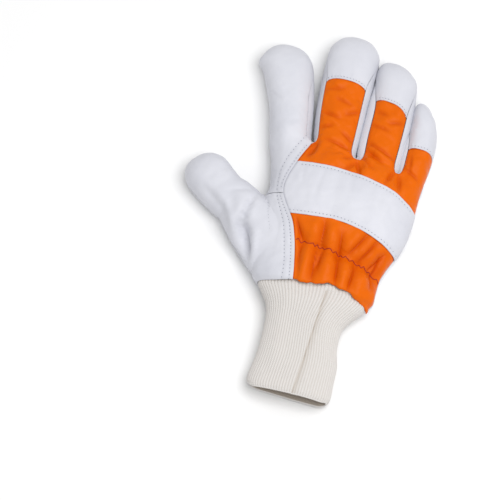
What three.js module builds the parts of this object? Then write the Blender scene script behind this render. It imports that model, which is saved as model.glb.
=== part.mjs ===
import * as THREE from 'three';

// Leather work glove for the right hand, lying palm down with its back up.
// Millimetres, +Z up, fingers towards +Y, thumb towards -X, the sole of the palm on z = 0.

const LEATHER_WALL = 1.3;
const FABRIC_WALL = 1.0;
const KNIT_WALL = 2.2;
// Seams along the rims lie in this zone of height; their edges are cut level, so that neighbours stay apart.
const RIM_SEAM_LOW = 7.5;
const RIM_SEAM_HIGH = 14;
const SEAM_GAP = 0.55;
const HALF_GAP = SEAM_GAP / 2;

const ROUNDNESS = 2.45;
const SOLE_ROUNDNESS = 3.2;
const SOLE_PRESS = 1.6;
const MIDDLE_SHARE = 0.4;
const TIP_ROUNDNESS = 2.35;

const WRIST_Y = -50;
const THUMB_SEAM_Y = 12.5;
const SEAM_LIFT = 0.6;
const HAND_ROWS = 12;

const WALL_ANGLE = 0.72;
const SOLE_WALL_ANGLE = 0.5;
const CROTCH_RISE = 9;
const CROTCH_SETBACK = 1.7;
const SETBACK_LENGTH = 16;
const SOLE_SETBACK = 1.5;
const KNUCKLE_DIP = 4.2;
const SOLE_LIFT = 2.6;
const DIP_WIDTH = 7;
const DIP_LENGTH = 20;
const DIP_FADE = 12;

const HOLE_ANGLE = 0.95;
const HOLE_SOLE_ANGLE = 0.55;
const THUMB_ROWS = 12;
const THUMB_BLEND = 20;

const RIB_COUNT = 44;
const RIB_DEPTH = 0.35;
const CUFF_SOLE = 1.75;
const CUFF_TOP_Y = -50.7;
const HEM_Y = -125.5;
const HEM_SHORTER_LEFT = 5.5;
const HEM_SHORTER_RIGHT = 3.0;

const ELASTIC_PINCH = 2.2;
const ELASTIC_WIDTH = 4.2;

// Rims and crown height of the hand along its length.
const HAND = [
  { y: -50, left: -36.5, right: 43.4, crown: 27.5 },
  { y: -46.5, left: -40.2, right: 45.6, crown: 30.4 },
  { y: -38, left: -44.3, right: 45.6, crown: 31.2 },
  { y: -27, left: -46.6, right: 46.2, crown: 30.4 },
  { y: -15, left: -47.4, right: 50.6, crown: 31.6 },
  { y: -4, left: -47.6, right: 55.4, crown: 33.0 },
  { y: 8, left: -47.0, right: 57.8, crown: 34.0 },
  { y: 20, left: -44.6, right: 58.5, crown: 34.0 },
  { y: 41, left: -48.8, right: 58.5, crown: 31.5 },
  { y: 57, left: -53.3, right: 59.6, crown: 28.6 },
  { y: 78, left: -58.8, right: 60.8, crown: 26.0 },
];

// Finger tubes: centre, half width and crown height along the finger, then the rounded tip.
const FINGERS = {
  index: {
    tip: 127.6, round: 20, right: 'indexMiddle', left: null, capAt: null,
    rows: [
      { y: 57, x: -39.5, half: 14.4, crown: 27.0 },
      { y: 80, x: -44.2, half: 15.5, crown: 26.5 },
      { y: 100, x: -50.3, half: 17.7, crown: 26.5 },
      { y: 113, x: -54.6, half: 18.9, crown: 26.0 },
      { y: 127.6, x: -56.2, half: 17.6, crown: 24.0 },
    ],
  },
  middle: {
    tip: 144.9, round: 19, right: 'middleRing', left: 'indexMiddle',
    capAt: { centre: 107.0, slant: 0.2, sag: 3.0 },
    rows: [
      { y: 51, x: -6.9, half: 15.0, crown: 27.0 },
      { y: 80, x: -9.3, half: 17.4, crown: 26.5 },
      { y: 104, x: -10.5, half: 18.2, crown: 26.0 },
      { y: 125, x: -10.6, half: 18.5, crown: 25.0 },
      { y: 145, x: -10.8, half: 17.6, crown: 23.5 },
    ],
  },
  ring: {
    tip: 132.3, round: 18, right: 'ringLittle', left: 'middleRing',
    capAt: { centre: 98.0, slant: 3.6, sag: 3.2 },
    rows: [
      { y: 49, x: 25.5, half: 13.7, crown: 26.0 },
      { y: 70, x: 25.1, half: 14.6, crown: 25.5 },
      { y: 90, x: 25.0, half: 14.7, crown: 25.0 },
      { y: 108, x: 24.0, half: 14.7, crown: 24.5 },
      { y: 121, x: 22.4, half: 15.0, crown: 24.0 },
      { y: 132, x: 17.8, half: 14.2, crown: 22.5 },
    ],
  },
  little: {
    tip: 107.4, round: 16, right: null, left: 'ringLittle',
    capAt: { centre: 69.2, slant: 1.0, sag: 1.6 },
    rows: [
      { y: 48, x: 50.4, half: 9.2, crown: 25.0 },
      { y: 70, x: 50.9, half: 10.1, crown: 24.0 },
      { y: 85, x: 50.2, half: 9.7, crown: 23.5 },
      { y: 95, x: 48.2, half: 8.4, crown: 23.0 },
      { y: 101, x: 46.2, half: 7.4, crown: 22.5 },
      { y: 107.4, x: 44.4, half: 7.0, crown: 22.0 },
    ],
  },
};

// The forks between the fingers.
const CROTCHES = {
  indexMiddle: { x: -22.8, y: 57, seamBelow: true },
  middleRing: { x: 10.6, y: 51, seamBelow: false },
  ringLittle: { x: 40.2, y: 48.5, seamBelow: false },
};
const RIM_CROTCH_Y = 47;

// Thumb tube from its root in the hand to its tip.
const THUMB = {
  tip: 65, round: 18,
  rows: [
    { along: 0, x: -49.0, y: -10.5, half: 20.5, crown: 29.0 },
    { along: 18, x: -63.2, y: 2.7, half: 16.4, crown: 27.0 },
    { along: 30, x: -73.5, y: 8.0, half: 15.4, crown: 26.5 },
    { along: 41, x: -82.4, y: 14.2, half: 15.7, crown: 26.5 },
    { along: 52, x: -90.6, y: 21.4, half: 16.1, crown: 26.0 },
    { along: 65, x: -99.0, y: 31.2, half: 15.8, crown: 24.0 },
  ],
};

// Edge of the thumb side leather against the cloth of the back.
const LEATHER_EDGE = [
  { y: -50, x: -11.2 },
  { y: -40.6, x: -12.5 },
  { y: -25, x: -15.7 },
  { y: -15.5, x: -18.4 },
  { y: -5.6, x: -22.2 },
  { y: 6, x: -29.5 },
  { y: 15, x: -33.6 },
  { y: 26, x: -33.1 },
  { y: 40, x: -28.9 },
  { y: 57, x: -22.8 },
];

// Upper and lower edge of the knuckle band across the hand.
const BAND = [
  { x: -33, upper: 38.6, lower: -1.4 },
  { x: -12, upper: 39.6, lower: -0.3 },
  { x: 5, upper: 39.4, lower: 0.7 },
  { x: 24, upper: 37.0, lower: -1.5 },
  { x: 41, upper: 33.0, lower: -6.5 },
  { x: 52, upper: 27.7, lower: -11.2 },
  { x: 59, upper: 23.6, lower: -14.2 },
];

// Line of the elastic sewn across the wrist cloth.
const ELASTIC = [
  { x: -18, y: -18.0 },
  { x: 3, y: -20.0 },
  { x: 20, y: -23.0 },
  { x: 38, y: -27.5 },
  { x: 50, y: -32.0 },
];

// Gathers of the wrist cloth: ridges above zero, valleys below it.
const GATHERS = [
  { x: -19.6, y: -5, endX: -13, endY: -17, width: 2.6, rise: -1.5 },
  { x: -12.2, y: -21, endX: -11.5, endY: -44, width: 2.8, rise: -1.6 },
  { x: -6.0, y: -8, endX: -4.6, endY: -36, width: 2.8, rise: 1.2 },
  { x: 0.6, y: -5, endX: 1.6, endY: -19, width: 2.6, rise: -1.6 },
  { x: -1.0, y: -23, endX: 1.0, endY: -47, width: 2.6, rise: -1.7 },
  { x: 7.5, y: -8, endX: 7.8, endY: -44, width: 3.0, rise: 1.2 },
  { x: 13.7, y: -9, endX: 15.4, endY: -24, width: 2.6, rise: -1.6 },
  { x: 15.2, y: -27, endX: 17.6, endY: -45, width: 2.8, rise: -1.7 },
  { x: 22.4, y: -12, endX: 22.0, endY: -42, width: 3.0, rise: 1.2 },
  { x: 30.0, y: -11, endX: 28.4, endY: -25, width: 2.8, rise: -1.6 },
  { x: 28.0, y: -29, endX: 26.8, endY: -47, width: 2.6, rise: -1.6 },
  { x: 36.0, y: -16, endX: 34.5, endY: -46, width: 2.8, rise: 1.1 },
  { x: 43.0, y: -17, endX: 40.4, endY: -44, width: 2.8, rise: -1.3 },
];

// Broad dents and ridges of the leather and the upper cloth.
const FORMS = [
  { x: -55.2, y: -17, endX: -49.6, endY: -34, width: 4.8, rise: -7.0 },
  { x: -50.0, y: 8, endX: -56.5, endY: -8, width: 3.0, rise: -2.0 },
  { x: -60.5, y: 4, endX: -60.0, endY: -16, width: 4.6, rise: 2.2 },
  { x: -83.0, y: 0, endX: -66.0, endY: -17, width: 3.6, rise: -1.5 },
  { x: -73, y: 110, endX: -70, endY: 112, width: 4.0, rise: 1.6 },
  { x: -36, y: 22, endX: -44, endY: 60, width: 6.0, rise: 1.0 },
  { x: 2, y: 38, endX: 1, endY: 2, width: 5.0, rise: -0.7 },
  { x: 27, y: 36, endX: 24, endY: 0, width: 5.0, rise: -0.6 },
];

// Rims and crown height of the knit cuff from the wrist seam to the hem.
const CUFF = [
  { y: -50.7, left: -36.2, right: 43.0, crown: 27.2 },
  { y: -57, left: -31.4, right: 38.6, crown: 26.6 },
  { y: -64, left: -27.2, right: 32.8, crown: 25.6 },
  { y: -72, left: -25.0, right: 28.8, crown: 24.6 },
  { y: -84, left: -23.9, right: 29.6, crown: 23.6 },
  { y: -100, left: -24.0, right: 32.3, crown: 22.6 },
  { y: -115, left: -26.6, right: 33.0, crown: 22.0 },
  { y: -120, left: -27.0, right: 33.2, crown: 22.4 },
  { y: -123.5, left: -26.9, right: 33.2, crown: 22.6 },
  { y: -125.5, left: -26.0, right: 32.4, crown: 21.6 },
];

const PATCH = {
  top: -51.2, bottom: -114, x: 3.4, topHalf: 23, bottomHalf: 17.5, corner: 7, wall: 1.25,
};

const COLOURS = { leather: 0xe4e6ea, cloth: 0xf26a1b, knit: 0xe9e3d6 };

const mix = (a, b, t) => a + (b - a) * t;
const clamp = (value, low, high) => Math.min(high, Math.max(low, value));
const blend = (a, b, t) => a.map((value, k) => mix(value, b[k], t));
const minus = (a, b) => a.map((value, k) => value - b[k]);
const plus = (a, b, scale) => a.map((value, k) => value + b[k] * scale);
const power = (value, exponent) => Math.sign(value) * Math.pow(Math.abs(value), exponent);

function unit(vector) {
  const size = Math.hypot(...vector) || 1;
  return vector.map((value) => value / size);
}

function cross(a, b) {
  return [a[1] * b[2] - a[2] * b[1], a[2] * b[0] - a[0] * b[2], a[0] * b[1] - a[1] * b[0]];
}

function ease(from, to, value) {
  const t = clamp((value - from) / (to - from), 0, 1);
  return t * t * (3 - 2 * t);
}

// Smooth curve through one column of a table, held at both ends.
function follow(rows, key, column, at) {
  const ordered = rows[0][key] < rows[rows.length - 1][key] ? rows : [...rows].reverse();
  const value = clamp(at, ordered[0][key], ordered[ordered.length - 1][key]);
  let k = 0;
  while (k < ordered.length - 2 && value > ordered[k + 1][key]) {
    k += 1;
  }
  const slope = (a, b) => (ordered[b][column] - ordered[a][column]) / (ordered[b][key] - ordered[a][key]);
  const span = ordered[k + 1][key] - ordered[k][key];
  const startSlope = k > 0 ? slope(k - 1, k + 1) : slope(k, k + 1);
  const endSlope = k < ordered.length - 2 ? slope(k, k + 2) : slope(k, k + 1);
  const t = (value - ordered[k][key]) / span;
  const fromStart = ordered[k][column] * (2 * t ** 3 - 3 * t ** 2 + 1) + startSlope * span * (t ** 3 - 2 * t ** 2 + t);
  const fromEnd = ordered[k + 1][column] * (3 * t ** 2 - 2 * t ** 3) + endSlope * span * (t ** 3 - t ** 2);
  return fromStart + fromEnd;
}

// A ridge or valley along the line between two points, with soft ends.
function ridge(form, x, y) {
  const runX = form.endX - form.x;
  const runY = form.endY - form.y;
  const length = Math.hypot(runX, runY);
  const t = clamp(((x - form.x) * runX + (y - form.y) * runY) / length ** 2, 0, 1);
  const away = Math.hypot(x - form.x - t * runX, y - form.y - t * runY);
  return form.rise * Math.exp(-((away / form.width) ** 2));
}

const ridges = (forms, x, y) => forms.reduce((sum, form) => sum + ridge(form, x, y), 0);

// A round-cornered section: angle 0 is the right rim, a quarter turn the crown.
function sectionPoint(shape, angle) {
  const c = Math.cos(angle);
  const s = Math.sin(angle);
  const across = power(c, 2 / ROUNDNESS) * shape.half;
  if (s >= 0) {
    return [across, shape.middle + (shape.crown - shape.middle) * Math.pow(s, 2 / ROUNDNESS)];
  }
  const depth = (shape.middle - shape.sole + shape.press) * Math.pow(-s, 2 / SOLE_ROUNDNESS);
  return [across, Math.max(shape.sole, shape.middle - depth)];
}

function handShape(y) {
  const left = follow(HAND, 'y', 'left', y);
  const right = follow(HAND, 'y', 'right', y);
  const crown = follow(HAND, 'y', 'crown', y);
  return {
    x: (left + right) / 2, half: (right - left) / 2, crown, middle: crown * MIDDLE_SHARE * 0.85,
    sole: 0, press: SOLE_PRESS,
  };
}

// How strongly a point lies in one of the hollows below the forks of the fingers.
function forkHollow(x, y) {
  return Object.values(CROTCHES).reduce((sum, crotch) => {
    const near = Math.exp(-(((x - crotch.x) / DIP_WIDTH) ** 2));
    return sum + near * ease(crotch.y - DIP_LENGTH, crotch.y, y) * (1 - ease(crotch.y + 2, crotch.y + DIP_FADE, y));
  }, 0);
}

function handPoint(y, angle) {
  const shape = handShape(y);
  const [across, height] = sectionPoint(shape, angle);
  const x = shape.x + across;
  const hollow = forkHollow(x, y);
  const onBack = ease(shape.middle, shape.crown, height);
  const onSole = 1 - ease(0, shape.middle, height);
  return [x, y, height - KNUCKLE_DIP * hollow * onBack + SOLE_LIFT * hollow * onSole];
}

// Angle on the hand section at which a given x is met, on the back or on the sole.
function handAngle(y, x, onSole) {
  const shape = handShape(y);
  const share = clamp((x - shape.x) / shape.half, -1, 1);
  const angle = Math.acos(power(share, ROUNDNESS / 2));
  return onSole ? 2 * Math.PI - angle : angle;
}

function roundedTip(limb, along) {
  const t = clamp((along - limb.tip + limb.round) / limb.round, 0, 1);
  return Math.pow(1 - Math.pow(t, TIP_ROUNDNESS), 1 / TIP_ROUNDNESS);
}

function limbShape(limb, key, along) {
  const tipShare = roundedTip(limb, along);
  const crown = follow(limb.rows, key, 'crown', along);
  const middle = crown * MIDDLE_SHARE;
  return {
    half: follow(limb.rows, key, 'half', along) * tipShare,
    crown: middle + (crown - middle) * tipShare,
    middle,
    sole: middle * (1 - Math.min(1, tipShare * (1 + SOLE_PRESS / middle))),
    press: 0,
  };
}

function fingerPoint(finger, y, angle) {
  const shape = limbShape(finger, 'y', y);
  const [across, height] = sectionPoint(shape, angle);
  return [follow(finger.rows, 'y', 'x', y) + across, y, height];
}

// Angle that lies a given distance further along a section curve.
function shifted(curve, angle, distance) {
  const step = 0.01;
  const speed = Math.hypot(...minus(curve(angle + step), curve(angle - step))) / (2 * step);
  return angle + distance / Math.max(speed, 0.5);
}

const forkOpening = (crotch, y) => {
  const t = clamp((y - crotch.y) / CROTCH_RISE, 0, 1);
  return Math.sqrt(1 - (1 - t) ** 2);
};

// The side walls narrow to nothing before the finger tip.
function wallAngle(finger, y, onSole) {
  const narrowing = 1 - ease(finger.tip - 27, finger.tip - 7, y);
  return narrowing * (onSole ? SOLE_WALL_ANGLE : WALL_ANGLE);
}

// x of the line that parts two fingers on the hand.
function partingX(name, y, onSole) {
  if (name === 'indexMiddle' && !onSole) {
    return follow(LEATHER_EDGE, 'y', 'x', y);
  }
  return CROTCHES[name].x - 0.06 * Math.max(0, CROTCHES[name].y - y) * (onSole ? 0 : 1);
}

// Angles of one edge of a finger strip, on the hand and on the finger, with its share of the seam gap.
function edgeAngles(finger, side, crotchName, y, onSole, joined) {
  const towards = onSole ? -side : side;
  if (!crotchName) {
    const angle = side > 0 ? (onSole ? 2 * Math.PI : 0) : Math.PI;
    return [angle, angle];
  }
  const crotch = CROTCHES[crotchName];
  const gap = HALF_GAP * (crotch.seamBelow && !joined ? 1 : forkOpening(crotch, y));
  const onHand = handAngle(y, partingX(crotchName, y, onSole), onSole);
  const wall = wallAngle(finger, y, onSole);
  const flatAngle = side > 0 ? (onSole ? 2 * Math.PI - wall : wall) : Math.PI + (onSole ? wall : -wall);
  const handCurve = (angle) => handPoint(y, angle);
  const limbCurve = (angle) => fingerPoint(finger, y, angle);
  return [shifted(handCurve, onHand, towards * gap), shifted(limbCurve, flatAngle, towards * gap)];
}

// Middle of the zone in which a finger grows out of the hand.
function rootY(finger) {
  const right = finger.right ? CROTCHES[finger.right].y : RIM_CROTCH_Y;
  const left = finger.left ? CROTCHES[finger.left].y : CROTCHES.indexMiddle.y - 4;
  return { right, left, centre: (right + left) / 2 };
}

// A point of the back or sole strip of a finger; turn runs from its first to its last edge.
function stripPoint(finger, onSole, turn, y, joined = false) {
  const rightEdge = edgeAngles(finger, 1, finger.right, y, onSole, joined);
  const leftEdge = edgeAngles(finger, -1, finger.left, y, onSole, joined);
  const [first, last] = onSole ? [leftEdge, rightEdge] : [rightEdge, leftEdge];
  const onHand = handPoint(y, mix(first[0], last[0], turn));
  const onLimb = fingerPoint(finger, y, mix(first[1], last[1], turn));
  const rightShare = onSole ? turn : 1 - turn;
  const nearRight = finger.right ? Math.max(0, 2 * rightShare - 1) ** 2 : 0;
  const nearLeft = finger.left ? Math.max(0, 1 - 2 * rightShare) ** 2 : 0;
  const settled = ease(rootY(finger).centre - 14, rootY(finger).centre + 14, y);
  const rightOpening = finger.right ? forkOpening(CROTCHES[finger.right], y) : 0;
  const leftOpening = finger.left ? forkOpening(CROTCHES[finger.left], y) : 0;
  const share = settled * (1 - nearRight - nearLeft) + rightOpening * nearRight + leftOpening * nearLeft;
  return blend(onHand, onLimb, share);
}

const crotchLineY = (finger, rightShare) => mix(rootY(finger).left, rootY(finger).right, rightShare);

// Edge of a leather finger tip cap across the finger.
function capY(finger, rightShare) {
  const across = 2 * rightShare - 1;
  return finger.capAt.centre - finger.capAt.slant * across - finger.capAt.sag * across ** 2;
}

const backGap = (point) => [point[0], point[1], point[2] + HALF_GAP];
const soleGap = (point) => [point[0], point[1], Math.max(0, point[2] - HALF_GAP)];
const formed = (point, forms, fade = 1) => [
  point[0], point[1], point[2] + fade * ridges(forms, point[0], point[1]),
];

function tipSteps(count, sharpness) {
  return Array.from({ length: count + 1 }, (_, k) => 1 - Math.pow(1 - k / count, sharpness));
}

function evenSteps(count) {
  return Array.from({ length: count + 1 }, (_, k) => k / count);
}

// Steps that start close together, for the tight turn at a fork.
function forkSteps(count) {
  return Array.from({ length: count + 1 }, (_, k) => Math.pow(k / count, 1.6));
}

function patch(rows, columns, point) {
  return { rows, columns, point };
}

// Joins patches into one sheet, gives it a wall and closes its edges.
function sheet(patches, wall) {
  const points = [];
  const found = new Map();
  const faces = [];
  const inner = [];
  const vertex = (point, inside) => {
    const key = point.map((value) => Math.round(value * 500)).join(' ');
    if (!found.has(key)) {
      found.set(key, points.length);
      points.push(point);
      inner.push(inside);
    }
    return found.get(key);
  };
  const addFace = (a, b, c) => {
    if (a !== b && b !== c && a !== c) {
      faces.push([a, b, c]);
    }
  };
  for (const { rows, columns, point, inside } of patches) {
    const grid = rows.map((row) => columns.map((column) => {
      return vertex(point(row, column), inside ? inside(row, column) : null);
    }));
    for (let i = 0; i < rows.length - 1; i += 1) {
      for (let j = 0; j < columns.length - 1; j += 1) {
        const [a, b, c, d] = [grid[i][j], grid[i + 1][j], grid[i + 1][j + 1], grid[i][j + 1]];
        const longer = Math.hypot(...minus(points[a], points[c])) > Math.hypot(...minus(points[b], points[d]));
        if (longer) {
          addFace(a, b, d);
          addFace(b, c, d);
        } else {
          addFace(a, b, c);
          addFace(a, c, d);
        }
      }
    }
  }
  const normals = points.map(() => [0, 0, 0]);
  for (const [a, b, c] of faces) {
    const facing = cross(minus(points[b], points[a]), minus(points[c], points[a]));
    for (const k of [a, b, c]) {
      normals[k] = plus(normals[k], facing, 1);
    }
  }
  const count = points.length;
  const edges = new Map();
  for (const face of faces) {
    for (let k = 0; k < 3; k += 1) {
      edges.set(`${face[k]} ${face[(k + 1) % 3]}`, [face[k], face[(k + 1) % 3]]);
    }
  }
  const directions = normals.map(unit);
  for (const [a, b] of edges.values()) {
    if (!edges.has(`${b} ${a}`)) {
      for (const k of [a, b]) {
        const onRim = points[k][2] > RIM_SEAM_LOW && points[k][2] < RIM_SEAM_HIGH;
        directions[k] = onRim ? unit([directions[k][0], directions[k][1], 0]) : directions[k];
      }
    }
  }
  const inside = points.map((point, k) => inner[k] ?? plus(point, directions[k], -wall));
  const corner = [...points, ...inside];
  const closed = [...faces, ...faces.map(([a, b, c]) => [a + count, c + count, b + count])];
  for (const [a, b] of edges.values()) {
    if (!edges.has(`${b} ${a}`)) {
      closed.push([b, a, a + count]);
      closed.push([b, a + count, b + count]);
    }
  }
  return { corner, closed };
}

const glove = new THREE.Group();
glove.name = 'work_glove';

function addPiece(name, colour, roughness, wall, patches) {
  const { corner, closed } = sheet(patches, wall);
  const geometry = new THREE.BufferGeometry();
  geometry.setAttribute('position', new THREE.Float32BufferAttribute(corner.flat(), 3));
  geometry.setIndex(closed.flat());
  geometry.computeVertexNormals();
  const material = new THREE.MeshStandardMaterial({ color: colour, roughness });
  const mesh = new THREE.Mesh(geometry, material);
  mesh.name = name;
  glove.add(mesh);
}

const addLeather = (name, patches) => addPiece(name, COLOURS.leather, 0.55, LEATHER_WALL, patches);
const addCloth = (name, patches) => addPiece(name, COLOURS.cloth, 0.45, FABRIC_WALL, patches);

// The hole in the thumb side of the hand from which the thumb grows.
function holeAngle(y, onSole) {
  const lowest = mix(WRIST_Y, THUMB_SEAM_Y, 1 / HAND_ROWS);
  const t = clamp((y - lowest) / (THUMB_SEAM_Y - lowest), 0, 1);
  const depth = Math.pow(Math.sin(Math.PI * t), 0.75);
  return onSole ? Math.PI + HOLE_SOLE_ANGLE * depth : Math.PI - HOLE_ANGLE * depth;
}

const holeRowY = (row) => mix(WRIST_Y, THUMB_SEAM_Y - HALF_GAP, row / HAND_ROWS);

function thumbPoint(along, angle) {
  const step = 0.5;
  const spine = (at) => [follow(THUMB.rows, 'along', 'x', at), follow(THUMB.rows, 'along', 'y', at), 0];
  const heading = unit(minus(spine(Math.min(along + step, THUMB.tip)), spine(along - step)));
  const [across, height] = sectionPoint(limbShape(THUMB, 'along', along), angle);
  const centre = spine(along);
  return [centre[0] + heading[1] * across, centre[1] - heading[0] * across, height];
}

// A point of the thumb; row counts along the hole from the wrist end up to the fork.
function thumbSkin(along, row, onSole) {
  const y = holeRowY(row);
  const edge = holeAngle(y, onSole);
  const base = handPoint(y, edge);
  if (along === 0) {
    return base;
  }
  const turn = Math.PI * (HAND_ROWS - row) / (HAND_ROWS - 1);
  const angle = onSole ? 2 * Math.PI - turn : turn;
  const downhill = unit(minus(handPoint(y, edge + (onSole ? -0.02 : 0.02)), base));
  const heading = [-0.78, 0.62, 0];
  const away = unit(plus(heading, downhill, 0.7 * Math.sin(turn)));
  const extended = plus(base, away, along * 0.85);
  const settled = ease(0, THUMB_BLEND, along);
  const skin = blend(extended, thumbPoint(along, angle), settled);
  return [skin[0], skin[1], Math.max(skin[2], onSole ? 0 : HALF_GAP)];
}

const thumbSteps = tipSteps(THUMB_ROWS, 1.35).map((share) => share * THUMB.tip);
const backOfThumb = evenSteps(HAND_ROWS - 1).map((share) => HAND_ROWS - share * (HAND_ROWS - 1));

// Thumb back with the leather of the thumb side down to the wrist.
function sideLeather(row, turn) {
  const rowY = holeRowY(row);
  const y = rowY + SEAM_LIFT * (1 - turn) * ease(HAND_ROWS - 4, HAND_ROWS, row);
  const curve = (angle) => handPoint(y, angle);
  const first = shifted(curve, handAngle(y, follow(LEATHER_EDGE, 'y', 'x', y), false), HALF_GAP);
  return backGap(handPoint(y, mix(first, holeAngle(rowY, false), turn)));
}

const handRows = evenSteps(HAND_ROWS).map((share) => share * HAND_ROWS);

addLeather('thumb_back', [
  patch(handRows, evenSteps(8), (row, turn) => formed(sideLeather(row, turn), FORMS)),
  patch(thumbSteps, backOfThumb, (along, row) => {
    const skin = along === 0 ? sideLeather(row, 1) : backGap(thumbSkin(along, row, false));
    const seamFade = Math.sin(Math.PI * (HAND_ROWS - row) / (HAND_ROWS - 1));
    return formed(skin, FORMS, along === 0 ? 1 : seamFade);
  }),
]);

// Back of the index finger with its corner of the hand, all leather.
function indexBack(y, turn) {
  const lift = SEAM_LIFT * (1 - turn) * (1 - ease(THUMB_SEAM_Y, THUMB_SEAM_Y + 20, y));
  return formed(backGap(stripPoint(FINGERS.index, false, turn, y + HALF_GAP + lift)), FORMS);
}

const indexRoot = evenSteps(6).map((share) => mix(THUMB_SEAM_Y, CROTCHES.indexMiddle.y, share));
const rising = (from, to, steps) => steps.map((share) => mix(from, to, share));

addLeather('index_back', [
  patch(
    [...indexRoot.slice(0, -1), ...rising(CROTCHES.indexMiddle.y, FINGERS.index.tip - HALF_GAP, tipSteps(13, 1.6))],
    evenSteps(9),
    indexBack,
  ),
]);

const bandEdge = (x, column) => follow(BAND, 'x', column, x);

// Cloth of the back above the knuckle band, with a tongue up each of three fingers.
function backCloth(finger) {
  const start = (turn) => {
    let y = 35;
    for (let pass = 0; pass < 6; pass += 1) {
      y = bandEdge(stripPoint(finger, false, turn, y)[0], 'upper') + HALF_GAP;
    }
    return y;
  };
  const fork = (turn) => crotchLineY(finger, 1 - turn);
  const cap = (turn) => capY(finger, 1 - turn) - HALF_GAP;
  const skin = (turn, y) => formed(backGap(stripPoint(finger, false, turn, y)), FORMS);
  return [
    patch(evenSteps(3), evenSteps(7), (share, turn) => skin(turn, mix(start(turn), fork(turn), share))),
    patch(forkSteps(6), evenSteps(7), (share, turn) => skin(turn, mix(fork(turn), cap(turn), share))),
  ];
}

addCloth('back_fabric', [
  ...backCloth(FINGERS.middle), ...backCloth(FINGERS.ring), ...backCloth(FINGERS.little),
]);

for (const name of ['middle', 'ring', 'little']) {
  const finger = FINGERS[name];
  addLeather(`fingertip_${name}`, [
    patch(tipSteps(8, 1.7), evenSteps(8), (share, turn) => {
      const start = capY(finger, 1 - turn) + HALF_GAP;
      return formed(backGap(stripPoint(finger, false, turn, mix(start, finger.tip, share))), FORMS);
    }),
  ]);
}

// A point of the back between the leather edge and the right rim; share runs from right to left.
function backStrip(share, rowEdges) {
  let y = 0;
  let x = mix(58, -28, share);
  for (let pass = 0; pass < 4; pass += 1) {
    y = rowEdges(x);
    const curve = (angle) => handPoint(y, angle);
    const last = shifted(curve, handAngle(y, follow(LEATHER_EDGE, 'y', 'x', y), false), -HALF_GAP);
    x = handPoint(y, last * share)[0];
    if (pass === 3) {
      return handPoint(y, last * share);
    }
  }
  return null;
}

addLeather('knuckle_band', [
  patch(evenSteps(5), evenSteps(18), (share, turn) => {
    const edges = (x) => mix(bandEdge(x, 'lower') + HALF_GAP, bandEdge(x, 'upper') - HALF_GAP, share);
    return formed(backGap(backStrip(turn, edges)), FORMS);
  }),
]);

// Pull of the elastic and the gathers it leaves in the cloth.
function gathered(point, turn) {
  const away = point[1] - follow(ELASTIC, 'x', 'y', point[0]);
  const fade = ease(0, 0.12, turn) * (1 - ease(0.9, 1, turn)) * ease(WRIST_Y, WRIST_Y + 5, point[1]);
  const pinch = ELASTIC_PINCH * Math.exp(-((away / ELASTIC_WIDTH) ** 2));
  return [point[0], point[1], point[2] + fade * (ridges(GATHERS, point[0], point[1]) - pinch)];
}

addCloth('wrist_fabric', [
  patch(evenSteps(10), evenSteps(32), (share, turn) => {
    const edges = (x) => mix(WRIST_Y, bandEdge(x, 'lower') - HALF_GAP, share);
    return gathered(backGap(backStrip(turn, edges)), turn);
  }),
]);

// Diagonal seam of the sole from the thumb fork to the fork of middle and ring finger.
function diagonalY(x) {
  const rim = handShape(THUMB_SEAM_Y);
  const fork = CROTCHES.middleRing;
  const share = (x - rim.x + rim.half) / (fork.x - rim.x + rim.half);
  return mix(THUMB_SEAM_Y, fork.y, clamp(share, 0, 1));
}

const soleEdgeX = { index: [-47, -22.8], middle: [-22.8, 10.6] };

// Front of a finger from its own seam across the palm up to the tip.
function fingerFront(name, rootRows) {
  const finger = FINGERS[name];
  const [leftX, rightX] = soleEdgeX[name];
  const start = (turn) => diagonalY(mix(leftX, rightX, turn)) + HALF_GAP;
  const fork = (turn) => Math.max(crotchLineY(finger, turn), start(turn) + 0.2);
  const skin = (turn, y) => soleGap(stripPoint(finger, true, turn, y));
  return [
    patch(evenSteps(rootRows), evenSteps(8), (share, turn) => skin(turn, mix(start(turn), fork(turn), share))),
    patch(tipSteps(11, 1.5), evenSteps(8), (share, turn) => skin(turn, mix(fork(turn), finger.tip, share))),
  ];
}

addLeather('index_front', fingerFront('index', 5));
addLeather('middle_front', fingerFront('middle', 3));

// Palm with the front of the thumb and of the ring and little fingers.
function palmColumn(name, turn) {
  const finger = FINGERS[name];
  const top = finger.left === null || name === 'middle'
    ? diagonalY(mix(...soleEdgeX[name], turn)) - HALF_GAP * (1 - (name === 'middle' ? turn : 0))
    : crotchLineY(finger, turn);
  return (row) => {
    const y = mix(WRIST_Y, top, row / HAND_ROWS);
    if (finger.left) {
      return soleGap(stripPoint(finger, true, turn, y, true));
    }
    const right = handAngle(y, partingX(finger.right, y, true), true);
    return soleGap(handPoint(y, mix(holeAngle(holeRowY(row), true), right, turn)));
  };
}

function frontStrip(name) {
  const finger = FINGERS[name];
  return patch(tipSteps(10, 1.5), evenSteps(5), (share, turn) => {
    return soleGap(stripPoint(finger, true, turn, mix(crotchLineY(finger, turn), finger.tip, share)));
  });
}

const soleOfThumb = evenSteps(HAND_ROWS - 1).map((share) => 1 + share * (HAND_ROWS - 1));

addLeather('palm', [
  ...['index', 'middle', 'ring', 'little'].map((name) => {
    return patch(handRows, evenSteps(5), (row, turn) => palmColumn(name, turn)(row));
  }),
  patch(thumbSteps, soleOfThumb, (along, row) => {
    return along === 0 ? palmColumn('index', 0)(row) : soleGap(thumbSkin(along, row, true));
  }),
  frontStrip('ring'),
  frontStrip('little'),
]);

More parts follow.
